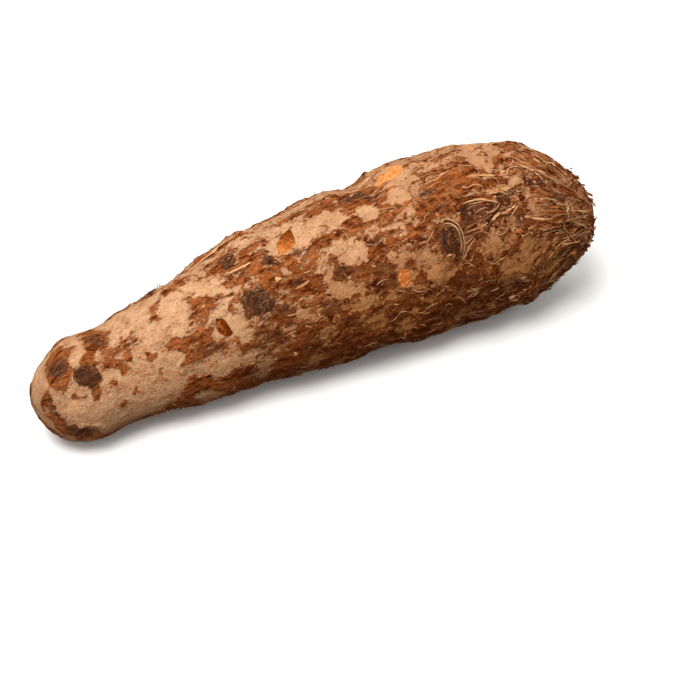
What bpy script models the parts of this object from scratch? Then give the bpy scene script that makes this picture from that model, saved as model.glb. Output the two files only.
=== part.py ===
"""A whole malanga root lying on its side, as it was pulled and shaken clean.

It grew as one solid piece. A blunt small end carries round buds, a slight neck follows,
and a club thickens towards the crown end, where the husk's strands run together to a tip.
Its line bends gently sideways. Its underside has a narrow flat spot that it rests on.

Blender units are metres with +Z up. The small end points to -X and the crown to +X, and
the origin is under the middle of the root. A place on the skin is given as "along", in mm
from the small end's tip, and "round", in degrees from the top, positive to the front (-Y).
"""

import math

import bmesh
import bpy
import numpy as np
from mathutils import Vector, noise

MM = 0.001

# The root's line in mm: x, y and height of its middle, and the radius there.
STATIONS = (
    (-85.1, -4.2, 17.0, 17.4),
    (-72.2, -3.2, 17.9, 17.0),
    (-52.8, -2.4, 20.5, 19.8),
    (-30.2, -1.0, 23.0, 23.2),
    (-6.6, -0.1, 25.2, 25.9),
    (19.5, 0.3, 26.7, 27.6),
    (47.7, 0.6, 28.8, 29.7),
    (72.4, -4.2, 30.6, 27.4),
)
SMALL_END_REACH = 17.4  # from the first station to the small end's tip
CROWN_REACH = 29.5  # from the last station to the crown's tip
CROWN_TURN = -31.0  # degrees that the crown turns to the front
CROWN_RISE = 9.0  # degrees that the crown rises
CROWN_BLUNTNESS = 1.95  # 2 is a round end, less is more pointed
SMALL_END_BLUNTNESS = 1.9
CROWN_TAPER = 3.0  # how much slimmer the root grows from the last station to the crown's tip
LINE_READINGS = 4000  # readings of the line from which the rings are spaced

# Swellings and hollows: along, round, height in mm, half length in mm, half width in degrees.
SWELLINGS = (
    (9.0, -38.0, -2.6, 7.5, 44.0),
    (5.0, 140.0, 1.3, 6.0, 40.0),
    (49.0, -42.0, -0.9, 5.0, 24.0),
    (58.0, -44.0, -2.2, 6.0, 30.0),
    (73.0, 45.0, 1.8, 9.0, 24.0),
    (80.0, 18.0, 1.5, 9.0, 20.0),
    (30.0, 20.0, -0.9, 12.0, 60.0),
    (116.0, -33.0, 1.6, 8.0, 26.0),
    (129.0, -28.0, -1.9, 8.0, 26.0),
    (149.0, -24.0, -0.4, 8.0, 26.0),
    (168.0, -20.0, 1.3, 5.5, 28.0),
    (142.0, 55.0, 1.2, 15.0, 24.0),
    (120.0, 190.0, 0.9, 20.0, 34.0),
    (78.0, 215.0, 1.3, 14.0, 30.0),
    (160.0, 240.0, 1.4, 16.0, 28.0),
    (200.0, -20.0, -2.4, 8.0, 44.0),
    (198.0, 118.0, -3.2, 9.0, 40.0),
)

# Where old leaf bases ringed the root: along, and the step's height in mm.
RING_SCARS = ((38.0, 0.5), (60.0, 0.6), (84.0, 0.7), (110.0, 0.7), (135.0, 0.8), (160.0, 0.9), (182.0, 1.1))
RING_SCAR_RUN, RING_SCAR_DROP = 12.0, 3.0  # how far a step rises and then falls, along the root
RING_SCAR_WANDER = ((2.0, 1.6), (5.0, 0.9))  # waves round the root, and how far each moves a scar along
RING_SCAR_SHIFT = 1.7  # turns the first wave on from scar to scar, in radians

# Buds: along, round, radius, height in mm, and the degrees that each leans to the crown.
BUDS = {
    "button": (15.5, 41.0, 4.4, 2.6, 0.0),
    "heel": (12.5, 114.0, 5.0, 1.7, 10.0),
    "ridge": (51.5, -42.0, 3.2, 0.9, 10.0),
    "bristly": (73.0, 43.0, 4.6, 3.2, 10.0),
    "ringed": (143.0, 52.0, 5.8, 3.0, 25.0),
    "back_low": (70.0, 252.0, 4.2, 2.6, 5.0),
    "back_high": (122.0, -68.0, 4.6, 2.8, 10.0),
    "back_crown": (167.0, 236.0, 5.0, 3.0, 20.0),
}
BUD_SIDES = 16
# A bud's outline from its sunk foot to its top: share of the radius, share of the height.
BUD_OUTLINE = ((0.80, -1.1), (1.06, -0.1), (0.97, 0.32), (0.80, 0.44), (0.70, 0.34), (0.58, 0.66), (0.30, 0.95))
BUD_WAVINESS = 0.09  # how far a bud's outline strays from round, as a share of its radius

# Husk strands that stand proud at the crown: how many, where they start and how thick they are.
STRANDS = 18
STRAND_START = (168.0, 184.0)
STRAND_STOP = 1.5  # how far short of the crown's tip they end
STRAND_THICKNESS = (0.7, 1.1)
STRAND_FLATNESS = 1.3  # width over thickness
STRAND_TAPER = 0.65  # share of the thickness lost by the end
STRAND_SUNK, STRAND_PROUD = 0.9, 0.4  # how deep the root of a strand is, and how high it then lies
STRAND_CLIMB = 0.35  # share of its length in which it comes out of the skin
STRAND_SWAY = 9.0  # degrees that it strays round the crown
STRAND_OVERSHOOT = 2.0  # how far a tip may pass its end
STRAND_TIP_RISE, STRAND_POINT = 0.5, 0.8
STRAND_SIDES = 5
STRAND_STEPS = 7
STRAND_SEED = 41

RINGS = 74
SIDES = 44

NOISE_GAIN = 1.6  # brings the noise's usual span to about -1 to 1
LUMP_SIZE, LUMP_HEIGHT = 21.0, 0.75  # slow unevenness of the whole root
KNOB_SIZE, KNOB_HEIGHT = 8.0, 0.28  # finer unevenness
PLATE_SIZE, PLATE_HEIGHT = 10.0, 0.5  # plates of bark that stand off the cork
PLATE_STRETCH = 1.7  # how much longer a plate is along the root than across it
PLATE_EDGE = (0.05, 0.4)  # span of the noise in which a plate's edge rises
PLATES_FROM, PLATES_FULL = 15.0, 60.0
RIDGES, RIDGE_HEIGHT = 13, 0.8  # ridges of the husk round the crown
RIDGES_FROM, RIDGES_FULL = 90.0, 178.0
RIDGE_BEND, RIDGE_BEND_RUN = 2.2, 31.0  # how far the ridges wander, and over what length
RIDGE_DEPTH = 1.6
END_RELIEF = 1.6  # how quickly the relief comes in from both tips
PROBE = 0.6  # how far apart the places are from which a slope is read
SLIMMEST = 6.0  # smallest radius for which a turn is worked out


def crown_direction():
    """The way that the crown's tip points."""
    turn, rise = math.radians(CROWN_TURN), math.radians(CROWN_RISE)
    return np.array((math.cos(turn) * math.cos(rise), math.sin(turn) * math.cos(rise), math.sin(rise)))


def line_points():
    """The stations, with the tips of both ends added."""
    stations = np.array(STATIONS)
    middles, radii = stations[:, :3], stations[:, 3]
    outward = middles[0] - middles[1]
    small_tip = middles[0] + outward / np.linalg.norm(outward) * SMALL_END_REACH
    crown_tip = middles[-1] + crown_direction() * CROWN_REACH
    first = np.append(small_tip, radii[0])
    last = np.append(crown_tip, radii[-1] - CROWN_TAPER)
    return np.vstack((first, stations, last))


def read_curve(points, along):
    """Values and slopes, at distances along it, of a smooth curve through points."""
    steps = np.linalg.norm(np.diff(points[:, :3], axis=0), axis=1)
    knots = np.concatenate(((0.0,), np.cumsum(steps)))
    slopes = np.gradient(points, knots, axis=0)
    piece = np.clip(np.searchsorted(knots, along, side="right") - 1, 0, len(steps) - 1)
    length = steps[piece][:, None]
    t = (along - knots[piece])[:, None] / length
    start, end = points[piece], points[piece + 1]
    leave, arrive = slopes[piece] * length, slopes[piece + 1] * length
    values = (
        (2 * t**3 - 3 * t**2 + 1) * start
        + (t**3 - 2 * t**2 + t) * leave
        + (3 * t**2 - 2 * t**3) * end
        + (t**3 - t**2) * arrive
    )
    ways = (
        (6 * t**2 - 6 * t) * (start - end)
        + (3 * t**2 - 4 * t + 1) * leave
        + (3 * t**2 - 2 * t) * arrive
    ) / length
    return values, ways


def root_length():
    """The length of the root's line, tip to tip, in mm."""
    points = line_points()
    return float(np.linalg.norm(np.diff(points[:, :3], axis=0), axis=1).sum())


def end_rounding(along):
    """How much of the radius is left at each place, as both ends round off."""
    small = np.clip((SMALL_END_REACH - along) / SMALL_END_REACH, 0.0, 1.0)
    crown = np.clip((along - root_length() + CROWN_REACH) / CROWN_REACH, 0.0, 1.0)
    small_share = (1.0 - small**SMALL_END_BLUNTNESS) ** (1.0 / SMALL_END_BLUNTNESS)
    crown_share = (1.0 - crown**CROWN_BLUNTNESS) ** (1.0 / CROWN_BLUNTNESS)
    return small_share * crown_share


def ring_places(count):
    """Distances along the line that space the rings evenly over the skin."""
    along = np.linspace(0.0, root_length(), LINE_READINGS)
    radius = read_curve(line_points(), along)[0][:, 3] * end_rounding(along)
    travel = np.concatenate(((0.0,), np.cumsum(np.hypot(np.diff(along), np.diff(radius)))))
    return np.interp(np.linspace(0.0, travel[-1], count), travel, along)


def wrapped(degrees):
    """Degrees brought into the span from -180 to 180."""
    return (degrees + 180.0) % 360.0 - 180.0


def fade(low, high, value):
    """Goes smoothly from 0 at low to 1 at high."""
    t = np.clip((value - low) / (high - low), 0.0, 1.0)
    return t * t * (3.0 - 2.0 * t)


def unevenness(places, size):
    """Smooth noise in the span from about -1 to 1, with lumps of the given size in mm."""
    return np.array([noise.noise(Vector(place)) for place in places / size]) * NOISE_GAIN


def relief(along, turn, straight):
    """How far the skin stands off the plain rounded root, in mm."""
    degrees = np.degrees(turn)
    height = LUMP_HEIGHT * unevenness(straight, LUMP_SIZE) + KNOB_HEIGHT * unevenness(straight, KNOB_SIZE)
    for at, around, rise, half_length, half_width in SWELLINGS:
        far = ((along - at) / half_length) ** 2 + (wrapped(degrees - around) / half_width) ** 2
        height = height + rise * np.exp(-far)
    for number, (at, step) in enumerate(RING_SCARS):
        (slow, far_slow), (quick, far_quick) = RING_SCAR_WANDER
        wander = far_slow * np.sin(turn * slow + number * RING_SCAR_SHIFT) + far_quick * np.sin(turn * quick + number)
        past = along - at - wander
        height = height + step * (fade(-RING_SCAR_RUN, 0.0, past) - fade(0.0, RING_SCAR_DROP, past))
    plates = fade(*PLATE_EDGE, unevenness(straight / (PLATE_STRETCH, 1.0, 1.0), PLATE_SIZE))
    height = height + PLATE_HEIGHT * plates * fade(PLATES_FROM, PLATES_FULL, along)
    husk = fade(RIDGES_FROM, RIDGES_FULL, along)
    waviness = turn * RIDGES + RIDGE_BEND * np.sin(turn * 3.0 + along / RIDGE_BEND_RUN)
    ridged = 1.0 - np.abs(np.sin(waviness / 2.0)) * RIDGE_DEPTH
    return height + husk * RIDGE_HEIGHT * ridged


def skin(along, turn, lift=0.0):
    """Points of the skin in mm, and the outward way at each, for flat arrays of places."""
    points = line_points()
    middle, way = read_curve(points, along)
    way = way[:, :3] / np.linalg.norm(way[:, :3], axis=1)[:, None]
    front = np.cross(way, (0.0, 0.0, 1.0))
    front = front / np.linalg.norm(front, axis=1)[:, None]
    top = np.cross(front, way)
    outward = top * np.cos(turn)[:, None] + front * np.sin(turn)[:, None]
    rounding = end_rounding(along)
    radius = middle[:, 3] * rounding
    straight = np.stack((along, radius * np.cos(turn), radius * np.sin(turn)), axis=1)
    radius = radius + (relief(along, turn, straight) + lift) * np.minimum(1.0, rounding * END_RELIEF)
    where = middle[:, :3] + outward * radius[:, None]
    where[:, 2] = np.maximum(where[:, 2], 0.0)
    return where, outward


def skin_frame(along, round_degrees):
    """One place on the skin, the way straight out of it there, and the way to the crown."""
    turn = math.radians(round_degrees)
    turn_step = PROBE / max(SLIMMEST, float(read_curve(line_points(), np.array([along]))[0][0, 3]))
    at = np.array((along, along + PROBE, along - PROBE, along, along))
    turns = np.array((turn, turn, turn, turn + turn_step, turn - turn_step))
    spots = skin(at, turns)[0]
    crownwards = spots[1] - spots[2]
    crownwards = crownwards / np.linalg.norm(crownwards)
    out = np.cross(crownwards, spots[3] - spots[4])
    out = -out / np.linalg.norm(out)
    return spots[0], out, crownwards


def mesh_object(name, vertices, faces):
    """A new object whose vertices are given in mm."""
    mesh = bpy.data.meshes.new(name)
    mesh.from_pydata([tuple(float(value) * MM for value in vertex) for vertex in vertices], [], faces)
    mesh.update()
    made = bpy.data.objects.new(name, mesh)
    bpy.context.scene.collection.objects.link(made)
    return made


def tube_faces(rings, sides):
    """Faces of a closed tube of rings between a first and a last point, ends as fans."""
    last = 1 + rings * sides
    faces = []
    for side in range(sides):
        other = (side + 1) % sides
        faces.append((0, 1 + other, 1 + side))
        for ring in range(rings - 1):
            here, there = 1 + ring * sides, 1 + (ring + 1) * sides
            faces.append((here + side, here + other, there + other, there + side))
        far = 1 + (rings - 1) * sides
        faces.append((last, far + side, far + other))
    return faces


def make_body():
    """The root without its buds and strands."""
    places = ring_places(RINGS + 2)
    turns = np.linspace(0.0, 2.0 * math.pi, SIDES, endpoint=False)
    along = np.repeat(places[1:-1], SIDES)
    turn = np.tile(turns, RINGS)
    along = np.concatenate(((places[0],), along, (places[-1],)))
    turn = np.concatenate(((0.0,), turn, (0.0,)))
    return mesh_object("malanga_root", skin(along, turn)[0], tube_faces(RINGS, SIDES))


def make_bud(name, along, around, radius, height, lean):
    """A round bud in its collar, its foot sunk in the skin."""
    foot, out, crownwards = skin_frame(along, around)
    tilt = math.radians(lean)
    up = out * math.cos(tilt) + crownwards * math.sin(tilt)
    across = np.cross(up, crownwards)
    across = across / np.linalg.norm(across)
    forward = np.cross(across, up)
    sunk = foot + up * BUD_OUTLINE[0][1] * height
    vertices = [sunk]
    for share, level in BUD_OUTLINE:
        for side in range(BUD_SIDES):
            angle = 2.0 * math.pi * side / BUD_SIDES
            stray = 1.0 + BUD_WAVINESS * math.sin(3.0 * angle + along) * math.cos(2.0 * angle + around)
            ring = across * math.cos(angle) + forward * math.sin(angle)
            vertices.append(foot + ring * radius * share * stray + up * height * level)
    vertices.append(foot + up * height)
    return mesh_object(name, vertices, tube_faces(len(BUD_OUTLINE), BUD_SIDES))


def make_strand(name, start, around, sway, thickness, overshoot):
    """A strand of husk that lies on the crown, its root sunk in and its tip just clear."""
    length = root_length()
    share = np.linspace(0.0, 1.0, STRAND_STEPS)
    along = start + (length - STRAND_STOP - start) * share
    turn = np.radians(around + sway * np.sin(share * math.pi))
    lift = (STRAND_SUNK + STRAND_PROUD) * fade(0.0, STRAND_CLIMB, share) - STRAND_SUNK
    spine, out = skin(along, turn, lift=lift)
    tip_way = crown_direction()
    spine[-1] = spine[-1] + tip_way * overshoot + out[-1] * STRAND_TIP_RISE
    vertices = [spine[0] - (spine[1] - spine[0]) / STRAND_STEPS]
    for step in range(STRAND_STEPS):
        ahead = spine[min(step + 1, STRAND_STEPS - 1)] - spine[max(step - 1, 0)]
        ahead = ahead / np.linalg.norm(ahead)
        across = np.cross(ahead, out[step])
        across = across / np.linalg.norm(across)
        up = np.cross(across, ahead)
        half = thickness / 2.0 * (1.0 - STRAND_TAPER * share[step])
        for side in range(STRAND_SIDES):
            angle = 2.0 * math.pi * side / STRAND_SIDES
            ring = across * math.cos(angle) * STRAND_FLATNESS + up * math.sin(angle)
            vertices.append(spine[step] + ring * half)
    vertices.append(spine[-1] + tip_way * STRAND_POINT)
    return mesh_object(name, vertices, tube_faces(STRAND_STEPS, STRAND_SIDES))


def make_strands():
    """All strands, spread round the crown by a seeded draw."""
    draw = np.random.default_rng(STRAND_SEED)
    strands = []
    for number in range(STRANDS):
        around = 360.0 * (number + draw.uniform(-0.3, 0.3)) / STRANDS
        start = draw.uniform(*STRAND_START)
        sway = draw.uniform(-STRAND_SWAY, STRAND_SWAY)
        thickness = draw.uniform(*STRAND_THICKNESS)
        overshoot = draw.uniform(0.0, STRAND_OVERSHOOT)
        strands.append(make_strand(f"strand_{number}", start, around, sway, thickness, overshoot))
    return strands


def keep_whole_root(mesh):
    """Drops every loose shell but the root's own, which also fills pockets sealed by strands."""
    working = bmesh.new()
    working.from_mesh(mesh)
    waiting = set(working.verts)
    islands = []
    while waiting:
        reached = [waiting.pop()]
        island = []
        while reached:
            vertex = reached.pop()
            island.append(vertex)
            for edge in vertex.link_edges:
                other = edge.other_vert(vertex)
                if other in waiting:
                    waiting.remove(other)
                    reached.append(other)
        islands.append(island)
    islands.sort(key=len)
    for island in islands[:-1]:
        bmesh.ops.delete(working, geom=island, context="VERTS")
    working.to_mesh(mesh)
    working.free()


def grow_together(body, extras):
    """Joins the buds and strands to the body as one closed solid, and removes their objects."""
    gathered = bpy.data.collections.new("grown_on")
    for extra in extras:
        gathered.objects.link(extra)
        bpy.context.scene.collection.objects.unlink(extra)
    bpy.context.scene.collection.children.link(gathered)
    joined = body.modifiers.new("grown_together", "BOOLEAN")
    joined.operation = "UNION"
    joined.operand_type = "COLLECTION"
    joined.collection = gathered
    joined.solver = "EXACT"
    bpy.context.view_layer.update()
    seen = body.evaluated_get(bpy.context.evaluated_depsgraph_get())
    whole = bpy.data.meshes.new_from_object(seen)
    body.modifiers.remove(joined)
    keep_whole_root(whole)
    body.data = whole
    whole.name = body.name
    for extra in extras:
        bpy.data.objects.remove(extra)
    bpy.data.collections.remove(gathered)


def husk_material():
    """Brown papery husk over pale cork, as one plain colour."""
    husk = bpy.data.materials.new("husk")
    husk.use_nodes = True
    shader = husk.node_tree.nodes["Principled BSDF"]
    shader.inputs["Base Color"].default_value = (0.34, 0.19, 0.10, 1.0)
    shader.inputs["Roughness"].default_value = 0.85
    shader.inputs["Metallic"].default_value = 0.0
    return husk


def main():
    for old in list(bpy.data.objects):
        bpy.data.objects.remove(old)
    root = make_body()
    buds = [make_bud(f"bud_{name}", *sizes) for name, sizes in BUDS.items()]
    grow_together(root, buds + make_strands())
    root.data.materials.clear()
    root.data.materials.append(husk_material())
    root.data.shade_smooth()


if __name__ == "__main__":
    main()
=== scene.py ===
"""The looks of a whole malanga root: pale cork, papery brown husk, buds and straw-coloured strands.

A place on the skin is given as "along", in mm from the small end's tip along the root's line,
and "round", in degrees from the top, positive to the front (-Y). Marks are placed the same way.
"""

import math
from collections import namedtuple

import bpy
import numpy as np
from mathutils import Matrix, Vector, noise


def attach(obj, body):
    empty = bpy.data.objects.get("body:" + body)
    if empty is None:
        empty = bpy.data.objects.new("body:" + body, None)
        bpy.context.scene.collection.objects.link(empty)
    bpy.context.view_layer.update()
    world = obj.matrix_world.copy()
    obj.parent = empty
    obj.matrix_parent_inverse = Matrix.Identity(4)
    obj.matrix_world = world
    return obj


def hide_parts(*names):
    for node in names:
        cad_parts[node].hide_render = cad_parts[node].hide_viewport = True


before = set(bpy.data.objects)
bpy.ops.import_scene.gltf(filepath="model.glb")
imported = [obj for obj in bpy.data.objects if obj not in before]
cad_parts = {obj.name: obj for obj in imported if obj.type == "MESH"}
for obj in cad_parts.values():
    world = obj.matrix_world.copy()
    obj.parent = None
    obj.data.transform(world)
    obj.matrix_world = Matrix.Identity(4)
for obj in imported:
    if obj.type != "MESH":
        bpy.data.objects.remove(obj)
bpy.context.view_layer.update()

bl_info = {
    "name": "Malanga root",
    "version": (1, 0, 0),
    "blender": (4, 5, 0),
    "location": "3D View > Sidebar > Malanga",
    "description": "Grows the skin, buds, flakes and strands of a malanga root",
    "category": "Object",
}

ROOT = "malanga_root"
MM = 0.001

# The root's line in mm: x, y and height of its middle, and the radius there.
STATIONS = (
    (-85.1, -4.2, 17.0, 17.4),
    (-72.2, -3.2, 17.9, 17.0),
    (-52.8, -2.4, 20.5, 19.8),
    (-30.2, -1.0, 23.0, 23.2),
    (-6.6, -0.1, 25.2, 25.9),
    (19.5, 0.3, 26.7, 27.6),
    (47.7, 0.6, 28.8, 29.7),
    (72.4, -4.2, 30.6, 27.4),
)
SMALL_END_REACH, SMALL_END_BLUNTNESS = 17.4, 1.9
CROWN_REACH, CROWN_BLUNTNESS = 29.5, 1.95
CROWN_TURN, CROWN_RISE = -31.0, 9.0

# Swellings and hollows: along, round, height in mm, half length in mm, half width in degrees.
SWELLINGS = (
    (9.0, -38.0, -2.6, 7.5, 44.0),
    (5.0, 140.0, 1.3, 6.0, 40.0),
    (49.0, -42.0, -0.9, 5.0, 24.0),
    (58.0, -44.0, -2.2, 6.0, 30.0),
    (73.0, 45.0, 1.8, 9.0, 24.0),
    (80.0, 18.0, 1.5, 9.0, 20.0),
    (30.0, 20.0, -0.9, 12.0, 60.0),
    (116.0, -33.0, 1.6, 8.0, 26.0),
    (129.0, -28.0, -1.9, 8.0, 26.0),
    (149.0, -24.0, -0.4, 8.0, 26.0),
    (168.0, -20.0, 1.3, 5.5, 28.0),
    (142.0, 55.0, 1.2, 15.0, 24.0),
    (120.0, 190.0, 0.9, 20.0, 34.0),
    (78.0, 215.0, 1.3, 14.0, 30.0),
    (160.0, 240.0, 1.4, 16.0, 28.0),
    (200.0, -20.0, -2.4, 8.0, 44.0),
    (198.0, 118.0, -3.2, 9.0, 40.0),
)
RING_SCARS = ((38.0, 0.5), (60.0, 0.6), (84.0, 0.7), (110.0, 0.7), (135.0, 0.8), (160.0, 0.9), (182.0, 1.1))
RING_SCAR_RUN, RING_SCAR_DROP = 12.0, 3.0
LUMP_SIZE, LUMP_HEIGHT = 21.0, 0.75
KNOB_SIZE, KNOB_HEIGHT = 8.0, 0.28
PLATE_SIZE, PLATE_HEIGHT, PLATE_STRETCH = 10.0, 0.5, 1.7
RIDGES, RIDGE_HEIGHT = 13, 0.8
RIDGES_FROM, RIDGES_FULL = 90.0, 178.0

# Relief of the bark in mm: the husk's edge, its fibres, the fine grain, and the hollow of a chip.
HUSK_STEP, FIBRE_RELIEF, FINE_RELIEF, CHIP_HOLLOW = 0.30, 0.22, 0.12, 0.22

# Steps in the table of distances over the skin, and the radius in mm that the grain is laid out on.
TRAVEL_STEPS, GRAIN_RADIUS = 4000, 26.0

# Buds: along, round, radius, height in mm, degrees of lean to the crown, width for its length, bristles.
BUDS = {
    "button": (14.4, 37.5, 3.0, 1.5, 0.0, 1.05, 34),
    "heel": (11.0, 112.0, 3.6, 1.2, 10.0, 1.1, 30),
    "ridge": (51.5, -42.0, 2.4, 0.9, 10.0, 1.0, 16),
    "bristly": (73.5, 44.0, 3.4, 1.1, 10.0, 1.15, 150),
    "ringed": (142.5, 54.0, 3.4, 1.6, 25.0, 1.3, 90),
    "back_low": (70.0, 252.0, 3.4, 1.6, 5.0, 1.2, 60),
    "back_high": (122.0, -68.0, 3.6, 1.6, 10.0, 1.2, 60),
    "back_crown": (167.0, 236.0, 3.8, 1.8, 20.0, 1.2, 80),
}

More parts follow.
